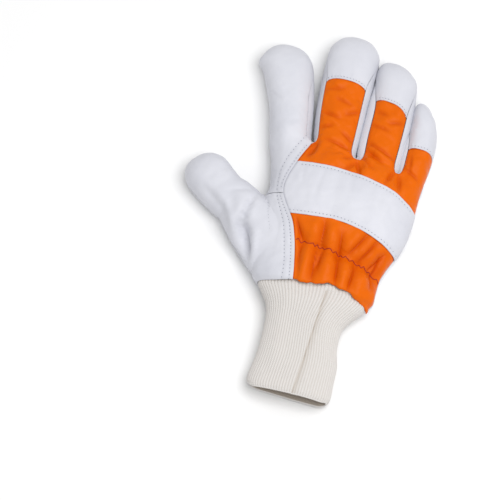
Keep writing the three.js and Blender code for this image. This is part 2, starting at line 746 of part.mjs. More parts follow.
// Side walls between two fingers, one strip that turns at their fork.
function forkWall(crotchName, rightFinger, leftFinger) {
  const crotch = CROTCHES[crotchName];
  const wall = (finger, onRight, y, share) => {
    const opening = forkOpening(crotch, y);
    const setback = mix(CROTCH_SETBACK, HALF_GAP, ease(crotch.y + 1, crotch.y + SETBACK_LENGTH, y));
    const sole = handPoint(y, handAngle(y, crotch.x, true));
    const back = handPoint(y, handAngle(y, partingX(crotchName, Math.min(y, crotch.y), false), false));
    const height = mix(sole[2] + setback, back[2] - setback, share);
    const web = [mix(sole[0], back[0], share), y, height];
    const centre = onRight ? 2 * Math.PI : Math.PI;
    const limb = (at) => fingerPoint(finger, y, at);
    const towardsBack = onRight ? 1 : -1;
    const soleTurn = centre - towardsBack * wallAngle(finger, y, true);
    const soleAngle = shifted(limb, soleTurn, towardsBack * setback * SOLE_SETBACK);
    const backAngle = shifted(limb, centre + towardsBack * wallAngle(finger, y, false), -towardsBack * setback);
    return blend(web, limb(mix(soleAngle, backAngle, share)), opening);
  };
  const lastY = (finger) => finger.tip - 11;
  return [
    patch(forkSteps(9), evenSteps(4), (step, share) => {
      return wall(leftFinger, true, mix(crotch.y, lastY(leftFinger), step), share);
    }),
    patch(forkSteps(9), evenSteps(4), (step, share) => {
      return wall(rightFinger, false, mix(crotch.y, lastY(rightFinger), step), 1 - share);
    }),
  ];
}

addLeather('fourchette_index_middle', forkWall('indexMiddle', FINGERS.middle, FINGERS.index));
addLeather('fourchette_middle_ring', forkWall('middleRing', FINGERS.ring, FINGERS.middle));
addLeather('fourchette_ring_little', forkWall('ringLittle', FINGERS.little, FINGERS.ring));

// Ribbed cuff; depth is measured inwards from the smooth outside.
function cuffPoint(y, angle, depth) {
  const left = follow(CUFF, 'y', 'left', y);
  const right = follow(CUFF, 'y', 'right', y);
  const crown = follow(CUFF, 'y', 'crown', y) - depth;
  const middle = mix(CUFF_SOLE, crown, 0.42);
  const shape = { half: (right - left) / 2 - depth, crown, middle, sole: CUFF_SOLE + depth, press: 0 };
  const [across, height] = sectionPoint(shape, angle);
  const x = (left + right) / 2 + across;
  const nearRight = clamp((x - left) / (right - left), 0, 1);
  const lift = mix(HEM_SHORTER_LEFT, HEM_SHORTER_RIGHT, nearRight);
  const shorter = lift * (1 - ease(CUFF_SOLE, crown, height)) * (1 - ease(HEM_Y, -99, y));
  return [x, y + shorter, height];
}

const cuffRows = [HEM_Y, -123.5, -120, -104, -84, -70, -60, CUFF_TOP_Y];

addPiece('knit_cuff', COLOURS.knit, 0.9, KNIT_WALL, [{
  rows: cuffRows,
  columns: evenSteps(RIB_COUNT * 2).map((share) => Math.round(share * RIB_COUNT * 2)),
  point: (y, step) => cuffPoint(y, Math.PI * (step % (RIB_COUNT * 2)) / RIB_COUNT, step % 2 ? RIB_DEPTH : 0),
  inside: (y, step) => cuffPoint(y, Math.PI * (step % (RIB_COUNT * 2)) / RIB_COUNT, KNIT_WALL),
}]);

// Leather patch under the cuff, over the pulse.
addPiece('pulse_patch', COLOURS.leather, 0.55, PATCH.wall, [
  patch(tipSteps(7, 2.2).map((share) => 1 - share).reverse(), evenSteps(6), (share, turn) => {
    const y = mix(PATCH.bottom, PATCH.top, share);
    const corner = clamp(1 - (y - PATCH.bottom) / PATCH.corner, 0, 1);
    const half = mix(PATCH.bottomHalf, PATCH.topHalf, share) - PATCH.corner * (1 - Math.sqrt(1 - corner ** 2));
    return [PATCH.x + half * (2 * turn - 1), y, 0];
  }),
]);

export default glove;
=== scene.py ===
import bpy
import math
import numpy as np
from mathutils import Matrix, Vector
from mathutils.bvhtree import BVHTree


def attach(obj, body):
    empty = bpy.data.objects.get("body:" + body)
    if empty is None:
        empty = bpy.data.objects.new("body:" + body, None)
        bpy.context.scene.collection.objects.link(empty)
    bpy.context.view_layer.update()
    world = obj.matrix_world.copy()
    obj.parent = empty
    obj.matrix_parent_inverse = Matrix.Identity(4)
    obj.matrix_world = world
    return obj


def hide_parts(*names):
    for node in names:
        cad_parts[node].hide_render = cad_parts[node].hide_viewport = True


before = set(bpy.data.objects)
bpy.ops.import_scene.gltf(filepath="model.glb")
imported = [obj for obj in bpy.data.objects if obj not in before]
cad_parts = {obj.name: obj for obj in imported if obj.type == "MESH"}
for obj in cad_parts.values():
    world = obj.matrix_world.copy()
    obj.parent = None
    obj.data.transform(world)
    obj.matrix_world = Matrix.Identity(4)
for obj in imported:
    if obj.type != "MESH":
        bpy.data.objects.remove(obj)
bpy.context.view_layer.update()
print("frame loaded:", len(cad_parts), "solids")

mm = 0.001
random = np.random.default_rng(41)


# A table with named columns: one dictionary for each row
def table(columns, *rows):
    return [dict(zip(columns.split(), row)) for row in rows]


# All shapes are worked out in millimetres, +Z up, and scaled to metres where a mesh is made.
section = {"roundness": 2.45, "soleRoundness": 3.2, "solePress": 1.6, "middleShare": 0.4, "handMiddle": 0.85,
           "tipRoundness": 2.35}

hand = {
    "wristY": -50.0, "thumbSeamY": 12.5, "seamLift": 0.6, "rows": 12,
    "halfGap": 0.16, "wallAngle": 0.72, "soleWallAngle": 0.5,
    "forkRise": 9.0, "knuckleDip": 4.2, "soleLift": 2.6, "dipWidth": 7.0, "dipLength": 20.0, "dipFade": 12.0,
    "fingerBlend": 14.0, "partingLean": 0.06, "wallFrom": 40, "wallTo": 6,
    "outline": table("y left right crown",
        (-50, -36.5, 43.4, 27.5), (-46.5, -40.2, 45.6, 30.4), (-38, -44.3, 45.6, 31.2),
        (-27, -46.6, 46.2, 30.4), (-15, -47.4, 50.6, 31.6), (-4, -47.6, 55.4, 33.0), (8, -47.0, 57.8, 34.0),
        (20, -44.6, 58.5, 34.0), (41, -48.8, 58.5, 31.5), (57, -53.3, 59.6, 28.6), (78, -58.8, 60.8, 26.0)),
    "leatherEdge": table("y x",
        (-50, -11.2), (-40.6, -12.5), (-25, -15.7), (-15.5, -18.4), (-5.6, -22.2), (6, -29.5), (15, -33.6),
        (26, -33.1), (40, -28.9), (57, -22.8))}

forks = {
    "indexMiddle": dict(x=-22.8, y=57.0, seamBelow=True),
    "middleRing": dict(x=10.6, y=51.0, seamBelow=False),
    "ringLittle": dict(x=40.2, y=48.5, seamBelow=False)}
rimForkY = 47.0

fingers = {
    "index": dict(tip=127.6, round=20, right="indexMiddle", left=None, rows=table("y x half crown",
        (57, -39.5, 14.4, 27.0), (80, -44.2, 15.5, 26.5), (100, -50.3, 17.7, 26.5),
        (113, -54.6, 18.9, 26.0), (127.6, -56.2, 17.6, 24.0))),
    "middle": dict(tip=144.9, round=19, right="middleRing", left="indexMiddle",
                   capAt=dict(centre=107.0, slant=0.2, sag=3.0), rows=table("y x half crown",
                       (51, -6.9, 15.0, 27.0), (80, -9.3, 17.4, 26.5), (104, -10.5, 18.2, 26.0),
                       (125, -10.6, 18.5, 25.0), (145, -10.8, 17.6, 23.5))),
    "ring": dict(tip=132.3, round=18, right="ringLittle", left="middleRing",
                 capAt=dict(centre=98.0, slant=3.6, sag=3.2), rows=table("y x half crown",
                     (49, 25.5, 13.7, 26.0), (70, 25.1, 14.6, 25.5), (90, 25.0, 14.7, 25.0),
                     (108, 24.0, 14.7, 24.5), (121, 22.4, 15.0, 24.0), (132, 17.8, 14.2, 22.5))),
    "little": dict(tip=107.4, round=16, right=None, left="ringLittle",
                   capAt=dict(centre=69.2, slant=1.0, sag=1.6), rows=table("y x half crown",
                       (48, 50.4, 9.2, 25.0), (70, 50.9, 10.1, 24.0), (85, 50.2, 9.7, 23.5),
                       (95, 48.2, 8.4, 23.0), (101, 46.2, 7.4, 22.5), (107.4, 44.4, 7.0, 22.0)))}

thumb = {
    "tip": 65, "round": 18, "blend": 20, "holeAngle": 0.95, "holeSoleAngle": 0.55,
    "heading": (-0.78, 0.62, 0.0), "spread": 0.7, "reach": 0.85,
    "rows": table("along x y half crown",
        (0, -49.0, -10.5, 20.5, 29.0), (18, -63.2, 2.7, 16.4, 27.0), (30, -73.5, 8.0, 15.4, 26.5),
        (41, -82.4, 14.2, 15.7, 26.5), (52, -90.6, 21.4, 16.1, 26.0), (65, -99.0, 31.2, 15.8, 24.0))}


# Smooth curve through one column of a table: a cubic between rows with slopes from the rows on both sides
def follow(rows, key, column, at):
    ordered = sorted(rows, key=lambda row: row[key])
    k = np.array([row[key] for row in ordered], float)
    v = np.array([row[column] for row in ordered], float)
    at = np.clip(np.asarray(at, float), k[0], k[-1])
    slope = np.empty(len(k))
    slope[1:-1] = (v[2:] - v[:-2]) / (k[2:] - k[:-2])
    slope[0], slope[-1] = (v[1] - v[0]) / (k[1] - k[0]), (v[-1] - v[-2]) / (k[-1] - k[-2])
    i = np.clip(np.searchsorted(k, at, side="left") - 1, 0, len(k) - 2)
    span = k[i + 1] - k[i]
    t = (at - k[i]) / span
    return (v[i] * (2 * t**3 - 3 * t**2 + 1) + slope[i] * span * (t**3 - 2 * t**2 + t)
            + v[i + 1] * (3 * t**2 - 2 * t**3) + slope[i + 1] * span * (t**3 - t**2))


def ease(low, high, value):  # 0 before low, 1 after high, smooth between
    t = np.clip((np.asarray(value, float) - low) / (high - low), 0, 1)
    return t * t * (3 - 2 * t)


def mix(a, b, t):  # a where t is 0, b where t is 1
    return a + (b - a) * t


def signedPower(value, exponent):  # power of the size, with the sign kept
    return np.sign(value) * np.abs(value) ** exponent


def triple(x, y, z):  # points from coordinates of matching shapes
    return np.stack(np.broadcast_arrays(x, y, z), axis=-1).astype(float)


# Round-cornered section: x = half * cos^(2/n), height from the middle to the crown by sin^(2/n),
# and flat where it is pressed on the table
def sectionPoint(shape, angle):
    c, s = np.cos(angle), np.sin(angle)
    across = signedPower(c, 2 / section["roundness"]) * shape["half"]
    up = shape["middle"] + (shape["crown"] - shape["middle"]) * np.maximum(s, 0) ** (2 / section["roundness"])
    depth = shape["middle"] - shape["sole"] + shape["press"]
    down = shape["middle"] - depth * np.maximum(-s, 0) ** (2 / section["soleRoundness"])
    return across, np.where(s >= 0, up, np.maximum(shape["sole"], down))


def followAll(rows, key, columns, at):  # several columns at once
    return [follow(rows, key, column, at) for column in columns.split()]


def handShape(y):  # middle line, half width and heights of the hand's section
    left, right, crown = followAll(hand["outline"], "y", "left right crown", y)
    middle = crown * section["middleShare"] * section["handMiddle"]
    return dict(x=(left + right) / 2, half=(right - left) / 2, crown=crown, middle=middle, sole=0.0,
                press=section["solePress"])


def leatherEdgeX(y):  # edge of the thumb side's leather on the back
    return follow(hand["leatherEdge"], "y", "x", y)


def forkHollow(x, y):  # sum over the forks of a bell across x times a ramp up to the fork
    total = 0
    for fork in forks.values():
        near = np.exp(-(((x - fork["x"]) / hand["dipWidth"]) ** 2))
        total = total + near * ease(fork["y"] - hand["dipLength"], fork["y"], y) * (
            1 - ease(fork["y"] + 2, fork["y"] + hand["dipFade"], y))
    return total


# Hand section at y, lowered between the knuckles and lifted below the forks
def handPoint(y, angle):
    shape = handShape(y)
    across, height = sectionPoint(shape, angle)
    x = shape["x"] + across
    hollow = forkHollow(x, y)
    onBack = ease(0, 1, (height - shape["middle"]) / (shape["crown"] - shape["middle"]))
    onSole = 1 - ease(0, 1, height / shape["middle"])
    return triple(x, y, height - hand["knuckleDip"] * hollow * onBack + hand["soleLift"] * hollow * onSole)


def handAngle(y, x, onSole):  # angle on the section at which this x is met
    shape = handShape(y)
    share = np.clip((x - shape["x"]) / shape["half"], -1, 1)
    angle = np.arccos(signedPower(share, section["roundness"] / 2))
    return 2 * np.pi - angle if onSole else angle


def limbShape(limb, key, along):  # sections shrink towards the tip by (1 - t^n)^(1/n)
    t = np.clip((along - limb["tip"] + limb["round"]) / limb["round"], 0, 1)
    share = np.maximum(1 - t ** section["tipRoundness"], 0) ** (1 / section["tipRoundness"])
    half, crown = followAll(limb["rows"], key, "half crown", along)
    middle = crown * section["middleShare"]
    sole = middle * (1 - np.minimum(1, share * (1 + section["solePress"] / middle)))
    return dict(half=half * share, crown=middle + (crown - middle) * share, middle=middle, sole=sole,
                press=0.0)


def fingerPoint(finger, y, angle):  # section set across the finger's bent middle line
    across, height = sectionPoint(limbShape(finger, "y", y), angle)
    return triple(follow(finger["rows"], "y", "x", y) + across, y, height)


def shifted(curve, angle, distance):  # moves an angle along a section curve by a distance in millimetres
    step = 0.01
    speed = np.linalg.norm(curve(angle + step) - curve(angle - step), axis=-1) / (2 * step)
    return angle + distance / np.maximum(speed, 0.5)


def forkOpening(fork, y):  # quarter circle, so that the strip turns round at the fork
    t = np.clip((y - fork["y"]) / hand["forkRise"], 0, 1)
    return np.sqrt(1 - (1 - t) ** 2)


def wallAngle(finger, y, onSole):  # where a side wall meets back or sole, closing to the rim towards the tip
    narrowing = 1 - ease(finger["tip"] - hand["wallFrom"], finger["tip"] - hand["wallTo"], y)
    return narrowing * (hand["soleWallAngle"] if onSole else hand["wallAngle"])


def partingX(name, y, onSole):  # line between two fingers, carried down over the hand
    if name == "indexMiddle" and not onSole:
        return leatherEdgeX(y)
    return forks[name]["x"] - (0 if onSole else hand["partingLean"]) * np.maximum(0, forks[name]["y"] - y)


# Angles of a strip's edge on the hand section and on the finger section, held back by the gap at the seam
def edgeAngles(finger, side, forkName, y, onSole, joined, tuck):
    towards = -side if onSole else side
    if not forkName:
        angle = np.full(np.shape(y), (2 * np.pi if onSole else 0.0) if side > 0 else np.pi)
        return angle, angle
    fork = forks[forkName]
    gap = hand["halfGap"] * (1.0 if fork["seamBelow"] and not joined else forkOpening(fork, y))
    if fork["seamBelow"]:
        gap = gap - tuck * (1 - ease(fork["y"] - 5, fork["y"], y))
    onHand = handAngle(y, partingX(forkName, y, onSole), onSole)
    wall = wallAngle(finger, y, onSole)
    if side > 0:
        flat = 2 * np.pi - wall if onSole else wall
    else:
        flat = np.pi + (wall if onSole else -wall)
    return (shifted(lambda a: handPoint(y, a), onHand, towards * gap),
            shifted(lambda a: fingerPoint(finger, y, a), flat, towards * gap))


wristLine = table("x y",
    (-37, -50.0), (-26, -49.6), (-11.5, -47.8), (1.2, -48.3), (13, -45.2), (21.5, -46.4), (28.2, -48.0),
    (38, -51.0), (43, -53.4))


def wristY(x):  # lower edge over the cuff, with small scallops where the cloth is gathered
    broad, fine = 0.35 * np.sin(x / 2.1 + 1.0), 0.2 * np.sin(x / 0.9)
    return follow(wristLine, "x", "y", x) + (broad + fine) * ease(-11.0, -7.0, x)


def rootY(finger):  # heights of the forks at both sides, and their middle
    right = forks[finger["right"]]["y"] if finger["right"] else rimForkY
    left = forks[finger["left"]]["y"] if finger["left"] else forks["indexMiddle"]["y"] - 4
    return right, left, (right + left) / 2


# A strip of a finger blends from the hand section to the finger section, and turn runs across it
def stripPoint(finger, onSole, turn, y, joined=False, tuck=0.0):
    turn, y = np.broadcast_arrays(np.asarray(turn, float), np.asarray(y, float))
    right = edgeAngles(finger, 1, finger["right"], y, onSole, joined, tuck)
    left = edgeAngles(finger, -1, finger["left"], y, onSole, joined, tuck)
    first, last = (left, right) if onSole else (right, left)
    onHand = handPoint(y, mix(first[0], last[0], turn))
    onLimb = fingerPoint(finger, y, mix(first[1], last[1], turn))
    rightShare = turn if onSole else 1 - turn
    nearRight = np.maximum(0, 2 * rightShare - 1) ** 2 if finger["right"] else 0 * turn
    nearLeft = np.maximum(0, 1 - 2 * rightShare) ** 2 if finger["left"] else 0 * turn
    centre = rootY(finger)[2]
    share = ease(centre - hand["fingerBlend"], centre + hand["fingerBlend"], y) * (1 - nearRight - nearLeft)
    if finger["right"]:
        share = share + forkOpening(forks[finger["right"]], y) * nearRight
    if finger["left"]:
        share = share + forkOpening(forks[finger["left"]], y) * nearLeft
    return mix(onHand, onLimb, share[..., None])


def forkLineY(finger, rightShare):  # straight from fork to fork
    right, left, _ = rootY(finger)
    return mix(left, right, rightShare)


def capY(finger, rightShare):  # centre - slant * a - sag * a^2, where a runs from -1 to 1 across
    across = 2 * rightShare - 1
    cap = finger["capAt"]
    return cap["centre"] - cap["slant"] * across - cap["sag"] * across**2


# Back panels go up by half a gap and sole panels down, so that a seam stays open along the rim
def raised(point, onSole=False):
    out = point.copy()
    out[..., 2] = np.maximum(out[..., 2] + (-hand["halfGap"] if onSole else hand["halfGap"]), 0)
    return out


def fingerSkin(finger, onSole, turns, y, **more):  # strip of a finger, raised from the rim
    return raised(stripPoint(finger, onSole, turns, y, **more), onSole)


# Millimetres between the points of a grid, and the panel edges where the first of them crowd
pitch = {"leather": 1.0, "cloth": 1.1, "tip": 0.95, "sole": 1.3}
nearEdge = np.array([0, 0.12, 0.3, 0.55, 0.9, 1.4])
edgeSides = {"first": (0, False), "last": (0, True), "start": (1, False), "end": (1, True)}


# Steps from 0 to 1 that crowd at the ends, where the edge of a panel is rolled under
def edgeSteps(length, pitch, start=True, end=True):
    low = nearEdge if start else nearEdge[:1]
    high = length - nearEdge[::-1] if end else np.array([length])
    count = max(2, int(round((high[0] - low[-1]) / pitch)))
    middle = np.linspace(low[-1], high[0], count + 1)[1:-1]
    return np.concatenate([low, middle, high]) / length


# Steps from 0 to 1 towards a tip: even, then round it, where t = sin^(2/n) of an even angle
def tipSteps(start, limb, pitch, rolled=False):
    bend = limb["tip"] - limb["round"]
    straight = np.linspace(start, bend, max(3, int((bend - start) / pitch)))
    angle = np.linspace(0, np.pi / 2, int(1.5 * limb["round"] / pitch))[1:]
    around = limb["tip"] - limb["round"] * (1 - np.sin(angle) ** (2 / section["tipRoundness"]))
    steps = (np.concatenate([straight, around]) - start) / (limb["tip"] - start)
    near = nearEdge / (limb["tip"] - start)
    return np.concatenate([near, steps[steps > 1.4 * near[-1]]]) if rolled else steps


def grid(rows, columns):  # rows by columns, as two arrays
    return np.meshgrid(np.asarray(rows, float), np.asarray(columns, float), indexing="ij")


def lengthFrom(points, axis, fromEnd):  # distance along the grid lines from one edge
    steps = np.linalg.norm(np.diff(points, axis=axis), axis=-1)
    total = np.insert(np.cumsum(steps, axis=axis), 0, 0, axis=axis)
    return np.take(total, [-1], axis=axis) - total if fromEnd else total


# A patch: its points, with the distances to the nearest free edge and to the nearest edge under a neighbour
def patch(points, free, under=()):
    distance = np.full((2,) + points.shape[:2], 99.0)
    for edge, (axis, fromEnd) in edgeSides.items():
        for k, names in enumerate((free, under)):
            if edge in names:
                distance[k] = np.minimum(distance[k], lengthFrom(points, axis, fromEnd))
    return points, distance


# Joins patches at equal points and returns vertices, faces and both edge distances
def joinPatches(patches):
    points = np.concatenate([p.reshape(-1, 3) for p, _ in patches])
    distance = np.concatenate([d.reshape(2, -1) for _, d in patches], axis=1)
    faces, offset = [], 0
    for p, _ in patches:
        m, n = p.shape[:2]
        index = np.arange(m * n).reshape(m, n) + offset
        corners = [index[:-1, :-1], index[1:, :-1], index[1:, 1:], index[:-1, 1:]]
        faces.append(np.stack(corners, -1).reshape(-1, 4))
        offset += m * n
    faces = np.concatenate(faces)
    keys = np.round(points * 200 + 0.137).astype(np.int64)
    _, first, inverse = np.unique(keys, axis=0, return_index=True, return_inverse=True)
    inverse = inverse.reshape(-1)
    edges = np.full((2, len(first)), 99.0)
    for k in range(2):
        np.minimum.at(edges[k], inverse, distance[k])
    return points[first], inverse[faces], edges


def faceNormals(verts, faces):  # mean of the faces round a vertex, each the cross product of its diagonals
    facing = np.cross(verts[faces[:, 2]] - verts[faces[:, 0]], verts[faces[:, 3]] - verts[faces[:, 1]])
    normals = np.zeros_like(verts)
    for k in range(4):
        np.add.at(normals, faces[:, k], facing)
    return normals / np.maximum(np.linalg.norm(normals, axis=1, keepdims=True), 1e-9)


def cleanFaces(faces):  # quads that touch a pole become triangles
    whole = np.all(faces != np.roll(faces, -1, axis=1), axis=1)
    whole &= (faces[:, 0] != faces[:, 2]) & (faces[:, 1] != faces[:, 3])
    rest = [list(dict.fromkeys(face)) for face in faces[~whole].tolist()]
    return faces[whole].tolist() + [face for face in rest if len(face) == 3]


def ringFaces(m, n):  # quads between m closed rings of n points
    index = np.arange(m * n).reshape(m, n)
    right = np.roll(index, -1, axis=1)
    return np.stack([index[:-1], right[:-1], right[1:], index[1:]], -1).reshape(-1, 4)


def rolledEdge(edge, radius, drop):  # a quarter circle down at the free edge
    t = np.clip(edge / radius, 0, 1)
    return -drop * (1 - np.sqrt(1 - (1 - t) ** 2))


# A ridge or valley along a line: rise * exp(-(distance / width)^2)
def ridges(forms, x, y):
    total = np.zeros(np.shape(x))
    for form in forms:
        runX, runY = form["endX"] - form["x"], form["endY"] - form["y"]
        t = np.clip(((x - form["x"]) * runX + (y - form["y"]) * runY) / (runX**2 + runY**2), 0, 1)
        away = np.hypot(x - form["x"] - t * runX, y - form["y"] - t * runY)
        fade = 1 - form.get("taper", 0) * np.abs(2 * t - 1) ** 2
        total += form["rise"] * fade * np.exp(-((away / form["width"]) ** 2))
    return total


def rowDistance(x, y, row):  # distance in the plane to a line of points, and the place along it
    best, along = np.full(x.shape, 1e9), np.zeros(x.shape)
    lengths = np.insert(np.cumsum(np.linalg.norm(np.diff(row, axis=0), axis=1)), 0, 0)
    for (ax, ay), (bx, by), start in zip(row[:-1], row[1:], lengths[:-1]):
        runX, runY = bx - ax, by - ay
        size = math.hypot(runX, runY) or 1e-6
        t = np.clip(((x - ax) * runX + (y - ay) * runY) / size**2, 0, 1)
        away = np.hypot(x - ax - t * runX, y - ay - t * runY)
        closer = away < best
        best, along = np.where(closer, away, best), np.where(closer, start + t * size, along)
    return best, along


def pressedRows(rows, x, y, depth=0.24, pucker=0.1):  # thread pulls a groove with small puckers
    width, puckerPitch = 0.9, 2.7
    total, shade = np.zeros(x.shape), np.zeros(x.shape)
    for row in rows:
        away, along = rowDistance(x, y, row)
        near = np.exp(-((away / width) ** 2))
        total -= depth * near
        wave = np.sin(2 * np.pi * along / puckerPitch + 1.3)
        total += pucker * wave * np.exp(-((away / (2.3 * width)) ** 2))
        # painted shade along the stitch groove
        shade = np.maximum(shade, 0.1 * near)
    return total, shade


def softNoise(x, y, scale, seed, count=26):  # a sum of random waves, for wrinkles without a direction
    pick = np.random.default_rng(seed)
    total = np.zeros(np.shape(x))
    for _ in range(count):
        direction, size = pick.uniform(0, 2 * np.pi), scale * pick.uniform(0.6, 1.8)
        wave = 2 * np.pi * (x * np.cos(direction) + y * np.sin(direction)) / size
        total += np.sin(wave + pick.uniform(0, 6.28))
    return total / math.sqrt(count)


def facingUp(normals, gain=1.5):  # 1 where a surface looks up, 0 where it looks sideways or down
    return np.clip(normals[:, 2] * gain, 0, 1)


# One object: mesh in metres, smooth, painted shade mask, material, and what it rides on, stands for and is
# made of
def makeObject(name, points, faces, finish, node=None, shade=None):
    mesh = bpy.data.meshes.new(name)
    mesh.from_pydata((points * mm).tolist(), [], faces)
    mesh.polygons.foreach_set("use_smooth", np.ones(len(mesh.polygons), bool))
    # the shade array is painted shade, kept as a point attribute for the material
    if shade is not None:
        attribute = mesh.attributes.new("seamShade", "FLOAT", "POINT")
        attribute.data.foreach_set("value", shade.reshape(-1).astype(np.float32))
    mesh.update()
    mesh.materials.append(finish["material"])
    piece = bpy.data.objects.new(name, mesh)
    bpy.context.scene.collection.objects.link(piece)
    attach(piece, "root")
    if node:
        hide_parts(node)
    return piece


made = {}
panel = {
    "roll": 0.9, "drop": 0.5, "lift": 0.0, "tuck": 1.6, "tuckSink": 0.6, "tuckShade": 0.3, "edgeShade": 0.2,
    "shadeWidth": 0.6, "foldFree": 4.0, "edgeFolds": 1.0, "lowest": 0.02}


# A panel: its patches moved along the normals by folds, a rolled edge and the step down under a neighbour
def makePiece(name, patches, finish, node, detail, **own):
    look = dict(panel, **own)
    verts, faces, (edge, under) = joinPatches(patches)
    normals = faceNormals(verts, faces)
    height, shade = detail(verts, normals)
    height = height * mix(look["edgeFolds"], 1.0, ease(0.0, look["foldFree"], edge))
    sunk = look["tuckSink"] * (1 - ease(look["tuck"] - 0.2, look["tuck"] + 0.9, under))
    height = height + rolledEdge(edge, look["roll"], look["drop"]) + look["lift"] - sunk
    # painted shade at the rolled edge and where the panel goes under its neighbour
    shade = np.maximum(shade, look["edgeShade"] * np.exp(-((edge / look["shadeWidth"]) ** 2)))
    shade = np.maximum(shade, look["tuckShade"] * (1 - ease(look["tuck"], look["tuck"] + 0.8, under)))
    placed = verts + normals * height[:, None]
    placed[:, 2] = np.maximum(placed[:, 2], look["lowest"])
    piece = makeObject(name, placed, cleanFaces(faces), finish, node, shade)
    solid = piece.modifiers.new("wall", "SOLIDIFY")
    solid.thickness, solid.offset, solid.use_rim = finish["wall"] * mm, -1.0, True
    made[name] = placed, faces


# Materials
def addNode(tree, kind, place, **values):  # a node with its sockets or settings set by name
    node = tree.nodes.new(kind)
    node.location = place
    for key, value in values.items():
        if key in node.inputs:
            node.inputs[key].default_value = value
        else:
            setattr(node, key, value)
    return node


def newMaterial(name, look):
    material = bpy.data.materials.new(name)
    material.use_nodes = True
    material.diffuse_color = (*look["colour"], 1)
    tree = material.node_tree
    shader = tree.nodes["Principled BSDF"]
    shader.inputs["Base Color"].default_value = (*look["colour"], 1)
    shader.inputs["Roughness"].default_value = look["roughness"]
    return material, tree, shader


def addTexture(tree, vector, kind, height, output="Fac", **values):
    texture = addNode(tree, "ShaderNodeTex" + kind, (-1200, height), **values)
    tree.links.new(vector, texture.inputs["Vector"])
    return texture.outputs[output]


# Tone: two colours mixed by a factor, then multiplied by the painted shade colour where the piece has painted
# shade (at seams, stitch grooves, fold valleys and hollows)
def addTone(tree, shader, look, factor):
    tone = addNode(tree, "ShaderNodeMix", (-900, 300), data_type="RGBA")
    tone.inputs[6].default_value, tone.inputs[7].default_value = (*look["colour"], 1), (*look["deep"], 1)
    seam = addNode(tree, "ShaderNodeAttribute", (-1200, 0), attribute_name="seamShade")
    dark = addNode(tree, "ShaderNodeMix", (-600, 200), data_type="RGBA", blend_type="MULTIPLY")
    dark.inputs[7].default_value = (*look["seam"], 1)
    tree.links.new(factor, tone.inputs[0])
    tree.links.new(tone.outputs[2], dark.inputs[6])
    tree.links.new(seam.outputs["Fac"], dark.inputs[0])
    tree.links.new(dark.outputs[2], shader.inputs["Base Color"])
    shader.inputs["Specular IOR Level"].default_value = look["specular"]
    shader.inputs["Sheen Weight"].default_value = look["sheen"]


# Bumps one upon another: each is a height, its strength and its depth in metres
def stackBumps(tree, shader, *bumps):
    normal = None
    for k, (height, strength, depth) in enumerate(bumps):
        bump = addNode(tree, "ShaderNodeBump", (-700 + 200 * k, -350), Strength=strength, Distance=depth)
        tree.links.new(height, bump.inputs["Height"])
        if normal:
            tree.links.new(normal, bump.inputs["Normal"])
        normal = bump.outputs["Normal"]
    tree.links.new(normal, shader.inputs["Normal"])


# Leather: two tones in soft clouds, with fine grain, pores and creases as bumps
def leatherMaterial(name, look):
    material, tree, shader = newMaterial(name, look)
    place = addNode(tree, "ShaderNodeTexCoord", (-1500, 0)).outputs["Object"]
    cloud = addTexture(tree, place, "Noise", 300, Scale=look["cloudScale"], Detail=4.0)
    spread = addNode(tree, "ShaderNodeMapRange", (-1050, 150))
    spread.inputs["From Min"].default_value, spread.inputs["From Max"].default_value = look["cloudRange"]
    tree.links.new(cloud, spread.inputs["Value"])
    addTone(tree, shader, look, spread.outputs["Result"])
    grain = addTexture(tree, place, "Voronoi", -250, "Distance", Scale=look["grainScale"],
                       feature="SMOOTH_F1")
    pores = addTexture(tree, place, "Noise", -500, Scale=look["poreScale"], Detail=5.0, Roughness=0.6)
    crease = addTexture(tree, place, "Noise", -750, Scale=look["creaseScale"], Detail=6.0, Distortion=1.2)
    heights = (grain, *look["grainBump"]), (pores, *look["poreBump"]), (crease, *look["creaseBump"])
    stackBumps(tree, shader, *heights)
    return material


# Cloth: bands of thread along X times bands along Y, over soft wrinkles
def clothMaterial(name, look):
    material, tree, shader = newMaterial(name, look)
    place = addNode(tree, "ShaderNodeTexCoord", (-1500, 0)).outputs["Object"]
    addTone(tree, shader, look, addTexture(tree, place, "Noise", 300, Scale=look["cloudScale"], Detail=3.0))
    weave = addNode(tree, "ShaderNodeMath", (-900, -350), operation="MULTIPLY")
    for k, bands in enumerate("XY"):
        threads = addTexture(tree, place, "Wave", -250 * (k + 1), Scale=look["threadScale"], Distortion=0.4,
                             bands_direction=bands)
        tree.links.new(threads, weave.inputs[k])
    wrinkle = addTexture(tree, place, "Noise", -750, Scale=look["wrinkleScale"], Detail=5.0, Distortion=1.6)
    stackBumps(tree, shader, (weave.outputs[0], *look["weaveBump"]), (wrinkle, *look["wrinkleBump"]))
    return material


# Knit: loops that follow the cuff's own UV map, with fuzz over them
def knitMaterial(name, look):
    material, tree, shader = newMaterial(name, look)
    along = addNode(tree, "ShaderNodeUVMap", (-1500, 0), uv_map="alongCloth").outputs["UV"]
    loops = addTexture(tree, along, "Wave", -250, Scale=look["loopScale"], Distortion=0.6,
                       bands_direction="Y")
    place = addNode(tree, "ShaderNodeTexCoord", (-1500, -500)).outputs["Object"]
    fuzz = addTexture(tree, place, "Noise", -500, Scale=look["fuzzScale"], Detail=6.0, Roughness=0.7)
    addTone(tree, shader, look, fuzz)
    stackBumps(tree, shader, (loops, *look["loopBump"]), (fuzz, *look["fuzzBump"]))
    return material


def threadMaterial(name, look):  # one colour with a fine twist
    material, tree, shader = newMaterial(name, look)
    place = addNode(tree, "ShaderNodeTexCoord", (-900, 0)).outputs["Object"]
    twist = addTexture(tree, place, "Noise", 0, Scale=look["twistScale"], Detail=2.0)
    stackBumps(tree, shader, (twist, *look["twistBump"]))
    return material
